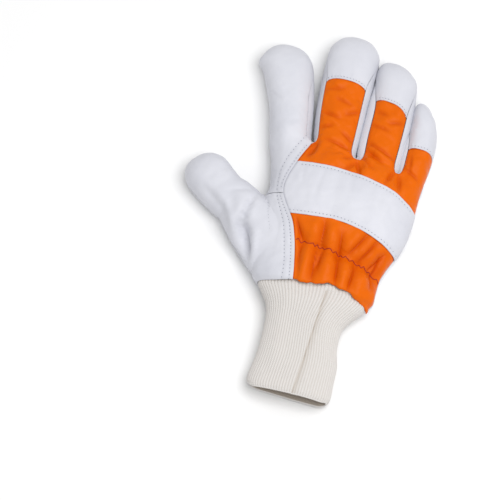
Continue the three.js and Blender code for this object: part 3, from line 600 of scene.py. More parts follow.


# Finishes: the material, the slot of the frame that it shows, and the wall of a panel
# Each finish's darker third colour is the colour of painted shade for seams, folds and hollows
leather = {"slot": "grain_leather", "wall": 1.3, "material": leatherMaterial("paleGrainLeather", dict(
    colour=(0.655, 0.66, 0.712), deep=(0.605, 0.612, 0.668), seam=(0.5, 0.5, 0.53), roughness=0.5,
    specular=0.35, sheen=0.05, cloudScale=38.0, cloudRange=(0.35, 0.75), grainScale=900.0,
    grainBump=(0.16, 0.0003), poreScale=1500.0, poreBump=(0.14, 0.0003), creaseScale=70.0,
    creaseBump=(0.16, 0.0022)))}
cloth = {"slot": "orange_cloth", "wall": 1.0, "material": clothMaterial("orangeCloth", dict(
    colour=(0.765, 0.142, 0.002), deep=(0.735, 0.122, 0.002), seam=(0.66, 0.34, 0.3), roughness=0.36,
    specular=0.08, sheen=0.0, cloudScale=45.0, threadScale=520.0, weaveBump=(0.2, 0.0002),
    wrinkleScale=85.0, wrinkleBump=(0.3, 0.0025)))}
knit = {"slot": "cream_knit", "material": knitMaterial("creamKnit", dict(
    colour=(0.75, 0.725, 0.705), deep=(0.68, 0.65, 0.625), seam=(0.66, 0.6, 0.53), roughness=0.92,
    specular=0.2, sheen=0.1, loopScale=0.32, loopBump=(0.6, 0.0003), fuzzScale=900.0,
    fuzzBump=(0.35, 0.0003)))}


def threadFinish(name, slotName, colour):
    look = dict(colour=colour, roughness=0.6, twistScale=2500.0, twistBump=(0.3, 0.0002))
    return {"slot": slotName, "material": threadMaterial(name, look)}


greyThread = threadFinish("greyThread", "grain_leather", (0.2, 0.215, 0.27))
rustThread = threadFinish("rustThread", "orange_cloth", (0.36, 0.022, 0.006))
print("materials made")

# Stitch rows on the back: lines at a distance from the leather edge, or along a curve of their own
outerLine = table("y x",
    (-49, -19.6), (-38, -20.4), (-25, -23.4), (-10, -27.6), (2, -33.2), (11, -37.4), (16, -38.6), (28, -39.4),
    (38, -37.6), (48, -34.0), (58, -29.5), (64, -27.2))


def edgeRow(offset, low, high):  # along the leather edge at a distance from it
    y = np.linspace(low, high, 60)
    return np.stack([leatherEdgeX(y) - offset, y], -1)


outerY = np.linspace(-49, 62, 70)
outerRow = np.stack([follow(outerLine, "y", "x", outerY), outerY], -1)
innerRowLow, innerRowHigh = edgeRow(3.0, -49, 12), edgeRow(2.2, 16.5, 55)

band = {
    "edge": table("x upper lower",
        (-33, 38.6, -1.4), (-12, 39.6, -0.3), (5, 39.4, 0.7), (24, 37.0, -1.5), (41, 33.0, -6.5),
        (52, 27.7, -11.2), (59, 23.6, -14.2)),
    "stitchInset": 2.4, "lift": 0.45,
    "creases": table("x y endX endY width rise taper",
        (-24, 36, -22, 20, 1.6, -0.35, 0.8), (-9, 37, -12, 14, 2.0, -0.45, 0.7),
        (10, 37, 13, 18, 2.0, -0.5, 0.7), (3, 3, 4, 18, 1.8, -0.35, 0.8),
        (33, 33, 34, 12, 2.0, -0.5, 0.7), (44, 29, 40, 6, 1.8, -0.4, 0.8))}


def bandEdge(x, column):  # upper or lower edge of the band at x
    return follow(band["edge"], "x", column, x)


def bandRow(column, inset):  # stitch row inside one edge of the band
    x = np.linspace(-27, 57, 70)
    return np.stack([x, bandEdge(x, column) + inset], -1)


bandUpperRow, bandLowerRow = bandRow("upper", -band["stitchInset"]), bandRow("lower", band["stitchInset"])

# Broad dents and ridges, shared by the leather and the cloth of the back
broadForms = table("x y endX endY width rise taper",
    (-55.4, -16, -52.8, -27, 4.4, -10.0, 0.5), (-52.8, -27, -48.8, -35.5, 4.0, -9.0, 0.5),
    (-60.5, 4, -60.0, -14, 4.6, 2.2, 0.4), (-46.8, -18, -43.8, -38, 2.4, 2.4, 0.3),
    (-36, 22, -44, 60, 6.0, 1.0), (2, 38, 1, 2, 5.0, -0.7), (27, 36, 24, 0, 5.0, -0.6))

indexCorner = {"x": -73.6, "y": 111.0, "width": 3.4, "rise": 2.0}  # seam ends in a pointed corner at the tip


def cornerBump(verts):  # rise * exp(-(distance / width)^2)
    away = np.hypot(verts[:, 0] - indexCorner["x"], verts[:, 1] - indexCorner["y"])
    return indexCorner["rise"] * np.exp(-((away / indexCorner["width"]) ** 2))


def backForms(verts, normals):  # broad forms where the back faces up
    return ridges(broadForms, verts[:, 0], verts[:, 1]) * facingUp(normals, 1.0)


def leatherWrinkles(x, y, seed, size):  # broad noise and half as much fine noise
    return size * softNoise(x, y, 11.0, seed) + 0.5 * size * softNoise(x, y, 5.0, seed + 1)


# Detail of a leather panel: broad dents, creases and pressed rows where it faces up, and fine wrinkles
def leatherDetail(rows, creases, seed, wrinkle, depth=0.24, pucker=0.1):
    def detail(verts, normals):
        x, y = verts[:, 0], verts[:, 1]
        onTop = facingUp(normals)
        pressed, shade = pressedRows(rows, x, y, depth, pucker)
        height = backForms(verts, normals) + ridges(creases, x, y) * onTop + pressed * onTop
        return height + cornerBump(verts) + leatherWrinkles(x, y, seed, wrinkle), shade * onTop
    return detail


# Leather of the thumb side
thumbBack = {
    "creases": table("x y endX endY width rise taper",
        (-51.0, 11.5, -54.3, 1.8, 1.5, -1.8, 0.2), (-54.3, 1.8, -56.5, -8.6, 1.7, -2.6, 0.1),
        (-56.5, -8.6, -57.2, -18.0, 2.0, -2.6, 0.1), (-50.6, 3, -52.8, -12, 2.4, 1.2, 0.5),
        (-89, 5, -81.5, -0.2, 2.8, -1.6, 0.4), (-81.5, -0.2, -73.4, -6.6, 3.0, -1.8, 0.4),
        (-73.4, -6.6, -68.8, -13.2, 2.8, -2.0, 0.4), (-68.8, -13.2, -63.5, -22.6, 2.6, -1.8, 0.5),
        (-78.5, 4, -70.5, -2.5, 3.2, 1.2, 0.5), (-70.5, -2.5, -65.0, -11, 3.0, 1.6, 0.4),
        (-65.0, -11, -60.5, -22, 2.8, 2.2, 0.2), (-52, 13, -72, 6.5, 1.5, -0.6, 0.7),
        (-80, 20, -72, 28, 2.0, -0.3, 0.9)),
    "faintRow": [(-42.6, 6.5), (-41.2, 0.0), (-38.6, -8.5), (-35.8, -16.0)]}


def holeAngle(y, onSole):  # edge of the thumb's opening: a half wave away from the hand's left rim
    lowest = mix(hand["wristY"], hand["thumbSeamY"], 1 / hand["rows"])
    t = np.clip((y - lowest) / (hand["thumbSeamY"] - lowest), 0, 1)
    depth = np.maximum(np.sin(np.pi * t), 0) ** 0.75
    return np.pi + thumb["holeSoleAngle"] * depth if onSole else np.pi - thumb["holeAngle"] * depth


def holeRowY(row):  # even steps from the wrist up to the thumb seam
    return mix(hand["wristY"], hand["thumbSeamY"] - hand["halfGap"], row / hand["rows"])


def thumbPoint(along, angle):  # section set across the thumb's bent middle line
    def spine(at):
        x, y = followAll(thumb["rows"], "along", "x y", at)
        return triple(x, y, 0.0)
    heading = spine(np.minimum(along + 0.5, thumb["tip"])) - spine(along - 0.5)
    heading /= np.linalg.norm(heading, axis=-1, keepdims=True)
    across, height = sectionPoint(limbShape(thumb, "along", along), angle)
    x, y = spine(along)[..., 0], spine(along)[..., 1]
    return triple(x + heading[..., 1] * across, y - heading[..., 0] * across, height)


# Thumb: the hand's own skin carried on in the thumb's direction, blended into the thumb's sections
def thumbSkin(along, row, onSole):
    y = holeRowY(row)
    edge = holeAngle(y, onSole)
    base = handPoint(y, edge)
    turn = np.pi * (hand["rows"] - row) / (hand["rows"] - 1)
    downhill = handPoint(y, edge + (-0.02 if onSole else 0.02)) - base
    downhill /= np.linalg.norm(downhill, axis=-1, keepdims=True)
    away = np.array(thumb["heading"]) + downhill * (thumb["spread"] * np.sin(turn))[..., None]
    away /= np.linalg.norm(away, axis=-1, keepdims=True)
    settled = ease(0, thumb["blend"], along)[..., None]
    carried = base + away * (along * thumb["reach"])[..., None]
    skin = mix(carried, thumbPoint(along, 2 * np.pi - turn if onSole else turn), settled)
    skin[..., 2] = np.maximum(skin[..., 2], 0.0 if onSole else hand["halfGap"])
    return skin


lowRows = edgeSteps(5.2, pitch["leather"], end=False)
highRows = 1 + (hand["rows"] - 1) * edgeSteps(57.0, 1.05, start=False)
handRows = np.concatenate([lowRows[:-1], highRows])


# Leather of the thumb side on the hand, from its edge on the back to the thumb's opening
def sideLeather(row, turn):
    rowY = holeRowY(row)
    level = rowY + hand["seamLift"] * (1 - turn) * ease(hand["rows"] - 4, hand["rows"], row)
    nearWrist = 1 - ease(hand["wristY"], hand["wristY"] + 14, rowY)
    y = level
    for _ in range(3):
        first = shifted(lambda a: handPoint(y, a), handAngle(y, leatherEdgeX(y), False), hand["halfGap"])
        point = handPoint(y, mix(first, holeAngle(rowY, False), turn))
        y = level + (wristY(point[..., 0]) - hand["wristY"]) * nearWrist * ease(0, 0.4, 1 - turn)
    return raised(point)


faintRow = np.array(thumbBack["faintRow"])


def thumbDetail(verts, normals):  # as leatherDetail, with the faint row pressed in more softly
    x, y = verts[:, 0], verts[:, 1]
    pressed, shade = pressedRows([outerRow, innerRowLow], x, y)
    faint, faintShade = pressedRows([faintRow], x, y, depth=0.22, pucker=0.08)
    height = backForms(verts, normals) + ridges(thumbBack["creases"], x, y) * facingUp(normals, 1.0)
    height = height + pressed + faint + leatherWrinkles(x, y, 3, 0.12)
    return height, np.maximum(shade, 0.6 * faintShade)


def thumbPatch(step, loops, root, onSole):  # skin of the thumb, sewn to the hand along its first row
    along, loop = grid(thumb["tip"] * tipSteps(0, thumb, step), loops)
    points = raised(thumbSkin(along, loop, onSole), onSole)
    points[0] = root(loop[0])
    return patch(points, ("start", "end"))


rowGrid, turnGrid = grid(handRows, edgeSteps(46.0, pitch["leather"], end=False))
makePiece("thumbBackLeather", [
    patch(sideLeather(rowGrid, turnGrid), ("first", "last", "start")),
    thumbPatch(pitch["tip"], highRows[::-1], lambda loop: sideLeather(loop, np.ones_like(loop)), False)],
    leather, "thumb_back", thumbDetail, lift=0.4, drop=0.3)

# Back of the index finger
indexCreases = table("x y endX endY width rise taper",
    (-62.0, 87, -52, 82, 1.7, -0.7, 0.7), (-50, 52, -42, 47, 2.2, -0.35, 0.9),
    (-47, 31, -40, 29, 1.8, -0.3, 0.9), (-37, 72, -44, 64, 2.0, -0.3, 0.9))


def indexSkin(y, turn):  # lifted a little over the thumb seam
    lift = hand["seamLift"] * (1 - turn) * (1 - ease(hand["thumbSeamY"], hand["thumbSeamY"] + 20, y))
    return fingerSkin(fingers["index"], False, turn, y + hand["halfGap"] + lift)


indexFork, indexTip = forks["indexMiddle"]["y"], fingers["index"]["tip"]
indexRows = np.concatenate([
    mix(hand["thumbSeamY"], indexFork, edgeSteps(44.5, pitch["cloth"], end=False))[:-1],
    mix(indexFork, indexTip - hand["halfGap"], tipSteps(indexFork, fingers["index"], pitch["tip"]))])
makePiece("indexBackLeather", [
    patch(indexSkin(*grid(indexRows, edgeSteps(52.0, pitch["cloth"]))), ("first", "start", "end"))],
    leather, "index_back", leatherDetail([outerRow, innerRowHigh], indexCreases, 5, 0.10), lift=0.4, drop=0.3)
print("thumb and index leather made")

# Cloth of the upper back, with a tongue up three fingers
backPulls = table("x y endX endY width rise taper",
    (11.3, 48, 15.5, 37, 1.3, -1.8, 0.5), (17, 50, 20, 40, 2.6, 1.0, 0.6), (10, 48, 4, 39, 1.3, -1.3, 0.7),
    (13.4, 66, 36, 57, 1.5, -1.5, 0.6), (14, 63.3, 33, 55, 1.6, 1.0, 0.6),
    (13, 60.3, 28.6, 52.5, 1.3, -1.4, 0.6), (13, 57, 26, 49, 1.6, 0.9, 0.7),
    (12.5, 54, 24, 45, 1.2, -1.2, 0.7), (-15, 60.5, 6, 56, 1.4, -1.3, 0.7),
    (-10, 56.8, 7, 52.5, 1.7, 0.9, 0.7), (7, 62, -6, 68, 1.4, -1.3, 0.8), (8, 51.5, -3, 47, 1.3, -1.1, 0.8),
    (-22, 81, -8, 77.3, 1.5, -1.3, 0.8), (-21, 77.4, -8, 73.8, 1.7, 0.9, 0.8),
    (-15, 92.5, -2, 89, 1.4, -1.1, 0.8), (-23, 98, -9, 101, 1.5, -1.0, 0.8),
    (5, 87, -6, 81, 1.5, -1.2, 0.8), (-22, 69, -11, 72, 1.5, -1.2, 0.8),
    (-19.5, 57, -23.5, 45, 1.5, -1.4, 0.5), (-16, 55, -19, 44, 2.2, 1.0, 0.6),
    (13, 80, 28, 77, 1.5, -1.2, 0.8), (37, 86, 25, 82.5, 1.5, -1.2, 0.8), (14, 91, 24, 88, 1.5, -1.0, 0.8),
    (38, 49, 34, 38, 1.4, -1.5, 0.5), (38.2, 44, 38.6, 34, 1.8, 0.9, 0.5),
    (41.5, 47, 44.5, 35, 1.4, -1.4, 0.5), (46.5, 64, 48, 50, 1.4, -1.1, 0.7),
    (44, 53, 56, 47, 1.4, -1.2, 0.8), (-2, 49, -10, 47, 4.5, 1.0), (25, 46, 31, 42, 4.0, 0.9))


def clothDetail(verts, normals):  # broad dents, pulls at the seams and soft wrinkles
    x, y = verts[:, 0], verts[:, 1]
    onTop = facingUp(normals, 1.4)
    pulls = ridges(backPulls, x, y)
    height = backForms(verts, normals) + pulls * onTop
    wrinkles = 0.4 * softNoise(x, y, 14.0, 11) + 0.17 * softNoise(x, y, 6.0, 12)
    # painted shade in the valleys of the pulls
    return height + wrinkles * mix(0.5, 1.0, onTop), 0.4 * np.clip(-pulls, 0, 1) * onTop


def bandStart(finger, turn):  # upper edge of the band, found by steps because the strip leans
    y = np.full(np.shape(turn), 35.0)
    for _ in range(6):
        y = bandEdge(stripPoint(finger, False, turn, y)[..., 0], "upper")
    return y


clothPatches = []
for name, width in dict(middle=46.0, ring=40.0, little=40.0).items():
    finger = fingers[name]
    turns = edgeSteps(width, pitch["cloth"])
    start = bandStart(finger, turns) - panel["tuck"]
    fork = forkLineY(finger, 1 - turns)
    cap = capY(finger, 1 - turns) + panel["tuck"]
    lowY = mix(start, fork, edgeSteps(15.0, 0.9, end=False)[:, None])
    highY = mix(fork, cap, np.linspace(0, 1, 60)[:, None] ** 1.3)
    lowSkin, highSkin = [fingerSkin(finger, False, turns, y, tuck=panel["tuck"]) for y in (lowY, highY)]
    under = ("first", "end") if name == "middle" else ("first",)
    clothPatches.append(patch(lowSkin, ("start",) if name == "little" else (), under))
    clothPatches.append(patch(highSkin, ("start", "end"), ("last",)))
makePiece("backCloth", clothPatches, cloth, "back_fabric", clothDetail,
          drop=0.3, edgeShade=0.05, edgeFolds=0.15)

capRows = []
for name, width in dict(middle=50.0, ring=42.0, little=40.0).items():
    finger = fingers[name]
    turns = edgeSteps(width, pitch["leather"])
    start = capY(finger, 1 - turns) + hand["halfGap"]
    share = tipSteps(finger["capAt"]["centre"], finger, pitch["tip"], rolled=True)
    y = mix(start, finger["tip"], share[:, None])
    rowTurns = np.linspace(0.04, 0.96, 40)
    row = stripPoint(finger, False, rowTurns, capY(finger, 1 - rowTurns) + 2.0)[..., :2]
    capRows.append(row)
    capPatch = patch(fingerSkin(finger, False, turns, y), ("first", "start", "end"))
    capDetail = leatherDetail([row], [], len(name), 0.09, depth=0.25, pucker=0.14)
    makePiece(name + "FingertipLeather", [capPatch], leather, "fingertip_" + name, capDetail,
              lift=0.25, drop=0.3)
print("upper back and finger tips made")


# A strip across the back between the leather edge and the right rim; share runs from right to left
def backStrip(share, rowY, tuck=0.0):
    x = mix(58.0, -28.0, share)
    for _ in range(4):
        y = rowY(x)
        last = shifted(lambda a: handPoint(y, a), handAngle(y, leatherEdgeX(y), False), tuck)
        point = handPoint(y, last * share)
        x = point[..., 0]
    return raised(point)


bandDetail = leatherDetail([bandUpperRow, bandLowerRow], band["creases"], 21, 0.12, depth=0.30, pucker=0.16)
shareGrid, turnGrid = grid(edgeSteps(39.0, pitch["leather"]), edgeSteps(100.0, pitch["leather"], end=False))
bandSkin = backStrip(
    turnGrid, lambda x: mix(bandEdge(x, "lower"), bandEdge(x, "upper"), shareGrid), panel["tuck"])
makePiece("knuckleBandLeather", [patch(bandSkin, ("first", "last", "start"), ("end",))],
          leather, "knuckle_band", bandDetail, drop=0.4, lift=band["lift"])

# Gathered cloth of the wrist: creases run from the elastic to the edges, with puffed panels between them
wristCloth = {
    "pinch": 2.3, "pinchWidth": 4.2, "puff": 1.1, "puffAway": 10.5, "puffWidth": 5.5, "threadGroove": 0.5,
    "smallFolds": 14,
    "elastic": table("x y", (-18, -18.0), (3, -20.0), (20, -23.0), (38, -27.5), (50, -32.0)),
    "deep": dict(width=0.75, rise=-1.4, taper=0.6), "soft": dict(width=2.9, rise=-1.5, taper=0.3),
    "creases": table("x y endX endY",
        (-19.6, -5, -13, -17), (-12.2, -21, -11.5, -46), (0.6, -3, 1.6, -19), (-1.0, -21, 1.0, -49),
        (3.6, -22, 2.0, -36), (13.7, -8, 15.4, -24), (15.2, -25, 17.6, -47), (38.5, -7.5, 29.0, -24),
        (28.0, -27, 26.8, -49), (43.0, -16, 41.6, -38), (31.0, -4.5, 22.0, -20), (46.0, -13, 38.5, -26)),
    "panels": table("x y endX endY width rise",
        (-6.0, -6, -5.4, -17, 4.0, 1.5), (-6.0, -24, -6.4, -46, 3.6, 1.6), (7.4, -6, 8.0, -19, 4.2, 1.7),
        (9.0, -26, 9.4, -44, 4.6, 2.0), (25.5, -6, 19.5, -18, 3.4, 1.3), (22.2, -28, 22.0, -45, 4.0, 1.7),
        (37.0, -13, 32.0, -22, 3.0, 1.2), (34.6, -31, 34.0, -50, 4.0, 1.7))}


def elasticY(x):  # line of the elastic across the wrist
    return follow(wristCloth["elastic"], "x", "y", x)


def smallGathers():  # short folds that start at the elastic line and run out above and below it
    folds = []
    for k in range(wristCloth["smallFolds"]):
        x = -17 + 66 * (k + random.uniform(0.1, 0.9)) / wristCloth["smallFolds"]
        line = float(elasticY(x))
        reach = random.uniform(4, 12) * (1 if k % 2 else -1)
        folds.append(dict(x=x, y=line, endX=x + random.uniform(-1.6, 1.6), endY=line + reach,
                          width=random.uniform(0.9, 1.6), rise=random.uniform(-0.55, 0.05), taper=0.9))
    return folds


shortFolds = smallGathers()
deepFolds, softFolds = [[dict(crease, **wristCloth[kind]) for crease in wristCloth["creases"]]
                        for kind in ("deep", "soft")]


# Folds, minus the pinch of the elastic and its groove, plus a puff at both sides of it
def wristDetail(verts, normals):
    x, y = verts[:, 0], verts[:, 1]
    away = y - elasticY(x)
    fromEdge = x - leatherEdgeX(y)
    fade = ease(0, 4, fromEdge) * mix(0.6, 1, ease(0, 8, y - wristY(x))) * ease(0.05, 0.5, normals[:, 2])
    pinch = wristCloth["pinch"] * np.exp(-((away / wristCloth["pinchWidth"]) ** 2))
    groove = wristCloth["threadGroove"] * np.exp(-(away**2))
    fromPuff = (np.abs(away) - wristCloth["puffAway"]) / wristCloth["puffWidth"]
    puff = wristCloth["puff"] * np.exp(-(fromPuff**2))
    folds = ridges(deepFolds + softFolds + shortFolds + wristCloth["panels"], x, y)
    # painted shade in the elastic's groove and in the valleys of the deep and soft folds
    shade = 0.3 * np.exp(-((away / 0.9) ** 2))
    for kinds, share in ((deepFolds, 0.7), (softFolds, 0.3)):
        shade = np.maximum(shade, share * np.clip(-ridges(kinds, x, y), 0, 1))
    return fade * (folds - pinch - groove + puff) + 0.12 * softNoise(x, y, 9.0, 31) * fade, shade * fade


shareGrid, turnGrid = grid(edgeSteps(50.0, 0.7, end=False), edgeSteps(84.0, 0.55, end=False))
wristSkin = backStrip(
    turnGrid, lambda x: mix(wristY(x), bandEdge(x, "lower") + panel["tuck"], shareGrid), panel["tuck"])
makePiece("wristCloth", [patch(wristSkin, ("first", "start"), ("last", "end"))],
          cloth, "wrist_fabric", wristDetail, roll=1.8, drop=1.3)
print("band and wrist cloth made")


# Sole: the seam runs from the thumb fork to the fork of middle and ring finger
def diagonalY(x):
    rim, fork = handShape(hand["thumbSeamY"]), forks["middleRing"]
    share = (x - rim["x"] + rim["half"]) / (fork["x"] - rim["x"] + rim["half"])
    return mix(hand["thumbSeamY"], fork["y"], np.clip(share, 0, 1))


soleEdgeX = {"index": (-47.0, -22.8), "middle": (-22.8, 10.6)}
diagonalX = np.linspace(-43, 9, 50)
diagonalRow = np.stack([diagonalX, diagonalY(diagonalX) - 2.4], -1)


def soleDetail(verts, normals):  # wrinkles, stronger at the sides, and the row along the seam
    x, y = verts[:, 0], verts[:, 1]
    under = np.clip(-normals[:, 2] * 1.5, 0, 1)
    side = 1 - np.abs(normals[:, 2])
    pressed, shade = pressedRows([diagonalRow], x, y, depth=0.25, pucker=0.1)
    height = leatherWrinkles(x, y, 51, 0.16) * (0.3 + side) - 0.2 * under * np.abs(softNoise(x, y, 24.0, 52))
    height = height + cornerBump(verts)
    return height + pressed * under, shade * under


for name in ("index", "middle"):
    finger = fingers[name]
    turns = edgeSteps(42.0, pitch["sole"])
    start = diagonalY(mix(*soleEdgeX[name], turns)) + hand["halfGap"]
    fork = np.maximum(forkLineY(finger, turns), start + 0.2)
    lowY = mix(start, fork, edgeSteps(20.0, pitch["sole"], end=False)[:, None])
    highY = mix(fork, finger["tip"], tipSteps(57.0, finger, pitch["sole"])[:, None])
    lowSkin, highSkin = [fingerSkin(finger, True, turns, y) for y in (lowY, highY)]
    frontPatches = [patch(lowSkin, ("first", "start", "end")), patch(highSkin, ("start", "end"))]
    makePiece(name + "FrontLeather", frontPatches, leather, name + "_front", soleDetail)


# Palm in strips below the fingers; the one below the index finger ends at the thumb's opening
def palmSkin(name, row, turn):
    finger = fingers[name]
    if name in soleEdgeX:
        fade = turn if name == "middle" else 0
        top = diagonalY(mix(*soleEdgeX[name], turn)) - hand["halfGap"] * (1 - fade)
    else:
        top = forkLineY(finger, turn)
    y = mix(hand["wristY"], top, row / hand["rows"])
    if finger["left"]:
        return fingerSkin(finger, True, turn, y, joined=True)
    right = handAngle(y, partingX(finger["right"], y, True), True)
    return raised(handPoint(y, mix(holeAngle(holeRowY(row), True), right, turn)), True)


palmPatches = []
palmFree = dict(index=("first", "last"), middle=("first", "last"), ring=("first",), little=("first", "end"))
for name, width in dict(index=26.0, middle=34.0, ring=31.0, little=34.0).items():
    turns = edgeSteps(width, pitch["sole"], start=False, end=name == "little")
    palmPatches.append(patch(palmSkin(name, *grid(handRows, turns)), palmFree[name]))
    if name not in soleEdgeX:
        finger = fingers[name]
        y = mix(forkLineY(finger, turns), finger["tip"], tipSteps(50.0, finger, pitch["sole"])[:, None])
        palmPatches.append(patch(fingerSkin(finger, True, turns, y), ("start", "end")))
palmPatches.append(thumbPatch(pitch["sole"], highRows, lambda loop: palmSkin("index", loop, 0 * loop), True))
makePiece("palmLeather", palmPatches, leather, "palm", soleDetail)
print("sole made")


# Side strips between two fingers: a wall that turns round at the fork
forkWalls = {"setback": 0.18, "setbackLength": 16.0, "endBefore": 9.0, "puckerPitch": 3.1, "pucker": 0.14,
             "pitch": 1.2, "rows": 64}


# Pucker along the seam at the top of a strip, with soft waves
def forkDetail(verts, normals):
    along = verts[:, 1]
    pucker = forkWalls["pucker"] * np.sin(2 * np.pi * along / forkWalls["puckerPitch"])
    return pucker * ease(15, 21, verts[:, 2]) + 0.12 * softNoise(along, verts[:, 2], 12.0, 61), 0 * along


# Each wall blends from a web that crosses the fork to the side of its finger, with a bulge by a half wave
def forkWall(forkName, rightName, leftName, reach, leftBulge, rightBulge):
    fork = forks[forkName]

    def wall(finger, onRight, y, share):
        nearTip = ease(fork["y"] + 1, fork["y"] + forkWalls["setbackLength"], y)
        setback = mix(forkWalls["setback"], hand["halfGap"], nearTip)
        sole = handPoint(y, handAngle(y, fork["x"], True))
        back = handPoint(y, handAngle(y, partingX(forkName, np.minimum(y, fork["y"]), False), False))
        web = mix(sole, back, share[..., None])
        web[..., 1] += reach * np.sin(np.pi * share)
        web[..., 2] = mix(sole[..., 2] + setback, back[..., 2] - setback, share)
        centre, towards = (2 * np.pi, 1) if onRight else (np.pi, -1)

        def limb(angle):
            return fingerPoint(finger, y, angle)
        soleAngle = shifted(limb, centre - towards * wallAngle(finger, y, True), towards * setback * 1.3)
        backAngle = shifted(limb, centre + towards * wallAngle(finger, y, False), -towards * setback)
        angle = mix(soleAngle, backAngle, share)
        fade = 1 - ease(finger["tip"] - 40, finger["tip"] - 10, y)
        bulge = (leftBulge if onRight else rightBulge) * fade * np.maximum(np.sin(np.pi * share**1.5), 0)
        bulged = limb(angle) + triple(np.cos(angle), 0, np.sin(angle)) * bulge[..., None]
        return mix(web, bulged, forkOpening(fork, y)[..., None])

    steps = np.linspace(0, 1, forkWalls["rows"]) ** 1.5
    across = edgeSteps(18.0, forkWalls["pitch"])
    patches = []
    for onRight, name, shares in ((True, leftName, across), (False, rightName, 1 - across)):
        step, share = grid(steps, shares)
        y = mix(fork["y"], fingers[name]["tip"] - forkWalls["endBefore"], step)
        patches.append(patch(wall(fingers[name], onRight, y, share), ("last", "start", "end")))
    node = "fourchette_" + leftName + "_" + rightName
    makePiece(forkName + "SideStrip", patches, leather, node, forkDetail, drop=0.25, edgeShade=0.05)


forkWall("indexMiddle", "middle", "index", reach=2.0, leftBulge=0.8, rightBulge=0.0)
forkWall("middleRing", "ring", "middle", reach=5.0, leftBulge=0.4, rightBulge=3.0)
forkWall("ringLittle", "little", "ring", reach=4.5, leftBulge=1.8, rightBulge=2.5)
print("side strips made")

# Ribbed knit cuff: a round-cornered tube with a wave of ribs round it and a rolled hem
cuff = {
    "ribs": 74, "perRib": 8, "ribHeight": 0.42, "wall": 2.0, "sole": 1.75, "middleShare": 0.42,
    "topY": -43.0, "hemY": -125.5, "tucked": 1.4, "lowest": 1.4,
    "shorterLeft": 3.2, "shorterRight": -0.2, "cornerRise": 1.8, "corner": 6.0, "loopPitch": 1.25,
    "rows": table("y left right crown",
        (-41, -41.0, 45.0, 29.9), (-46, -38.8, 44.5, 28.9), (-50.7, -36.2, 43.0, 27.2),
        (-57, -31.4, 38.6, 26.6), (-64, -27.2, 32.8, 25.6), (-72, -25.0, 28.8, 24.6),
        (-84, -23.9, 29.6, 23.6), (-100, -24.0, 32.3, 22.6), (-115, -26.6, 33.0, 22.0),
        (-120, -27.0, 33.2, 22.4), (-123.5, -26.9, 33.2, 22.6), (-125.5, -26.0, 32.4, 21.6)),
    "creases": table("x y endX endY width rise",
        (12.7, -50, 7.2, -127, 0.8, -0.4), (14.6, -50, 9.2, -127, 2.4, -0.35),
        (-14, -60, -10, -110, 4.5, 0.5), (24, -66, 26, -100, 4.0, -0.4)),
    # lines of painted shade along the cuff's crease
    "creaseShadeLines": table("x y endX endY width rise",
        (12.7, -50, 7.2, -127, 0.55, 0.6), (14.2, -50, 8.8, -127, 1.6, 0.22))}


def cuffPoint(y, angle, depth):  # section carried along y, its lower hem shorter at one side and at the rims
    left, right, crown = followAll(cuff["rows"], "y", "left right crown", y)
    crown = crown - depth
    middle = mix(cuff["sole"], crown, cuff["middleShare"])
    shape = dict(half=(right - left) / 2 - depth, crown=crown, middle=middle, sole=cuff["sole"] + depth,
                 press=0.0)
    across, height = sectionPoint(shape, angle)
    x = (left + right) / 2 + across
    lift = mix(cuff["shorterLeft"], cuff["shorterRight"], np.clip((x - left) / (right - left), 0, 1))
    low = 1 - ease(0, 1, (height - cuff["sole"]) / (crown - cuff["sole"]))
    shorter = lift * low * (1 - ease(cuff["hemY"], -99, y))
    fromRim = np.clip((np.abs(across) - shape["half"] + cuff["corner"]) / cuff["corner"], 0, 1)
    rounding = cuff["cornerRise"] * fromRim**2 * (1 - ease(cuff["hemY"], cuff["hemY"] + 14, y))
    return triple(x, y + shorter + rounding, height)


def evenAngles(count, y):  # angles at even distances round the section
    fine = np.linspace(0, 2 * np.pi, 6001)
    lengths = np.linalg.norm(np.diff(cuffPoint(y, fine, 0.0), axis=0), axis=1)
    along = np.insert(np.cumsum(lengths), 0, 0)
    return np.interp(np.arange(count) * along[-1] / count, along, fine)


count = cuff["ribs"] * cuff["perRib"]
ringAngles = evenAngles(count, -84.0)


def cuffGrid(rows, depth):  # rows along y by steps round the ribs
    y, step = grid(rows, np.arange(count + 1))
    angles = ringAngles[step.astype(int) % count]
    return y, step, angles, cuffPoint(y, angles, depth)


outerRows = np.concatenate([np.linspace(cuff["hemY"], -119, 12)[:-1], np.linspace(-119, cuff["topY"], 66)])
yGrid, stepGrid, angles, base = cuffGrid(outerRows, 0.0)
inward = cuffPoint(yGrid, angles, 1.0) - base
inward /= np.linalg.norm(inward, axis=-1, keepdims=True)
ribWave = np.abs(np.sin(np.pi * stepGrid / cuff["perRib"])) ** 0.8
onTop = ease(10, 16, base[..., 2])
creaseDepth = ridges(cuff["creases"], base[..., 0], base[..., 1]) * onTop
creaseShade = ridges(cuff["creaseShadeLines"], base[..., 0], base[..., 1]) * onTop
loose = 0.35 * softNoise(np.cos(angles) * 30, yGrid, 30.0, 71)
underEdge = ease(-1.6, 0.8, yGrid - wristY(base[..., 0]))
depth = cuff["ribHeight"] * (1 - ribWave) - creaseDepth - loose * (1 - ease(-60, -52, yGrid))
depth = depth + cuff["tucked"] * underEdge
outside = base + inward * depth[..., None]
innerRows = np.linspace(cuff["hemY"], cuff["topY"], 16)
inside = cuffGrid(innerRows, cuff["wall"])[3]
hemArc = np.linspace(0, 1, 7)[1:-1, None, None]
hem = mix(inside[0][None], outside[0][None], hemArc) + np.sin(np.pi * hemArc) * np.array([0.0, -0.9, 0.0])
topArc = np.linspace(0, 1, 4)[1:, None, None]
loopSheet = np.concatenate([inside[::-1], hem, outside, mix(outside[-1][None], inside[-1][None], topArc)])
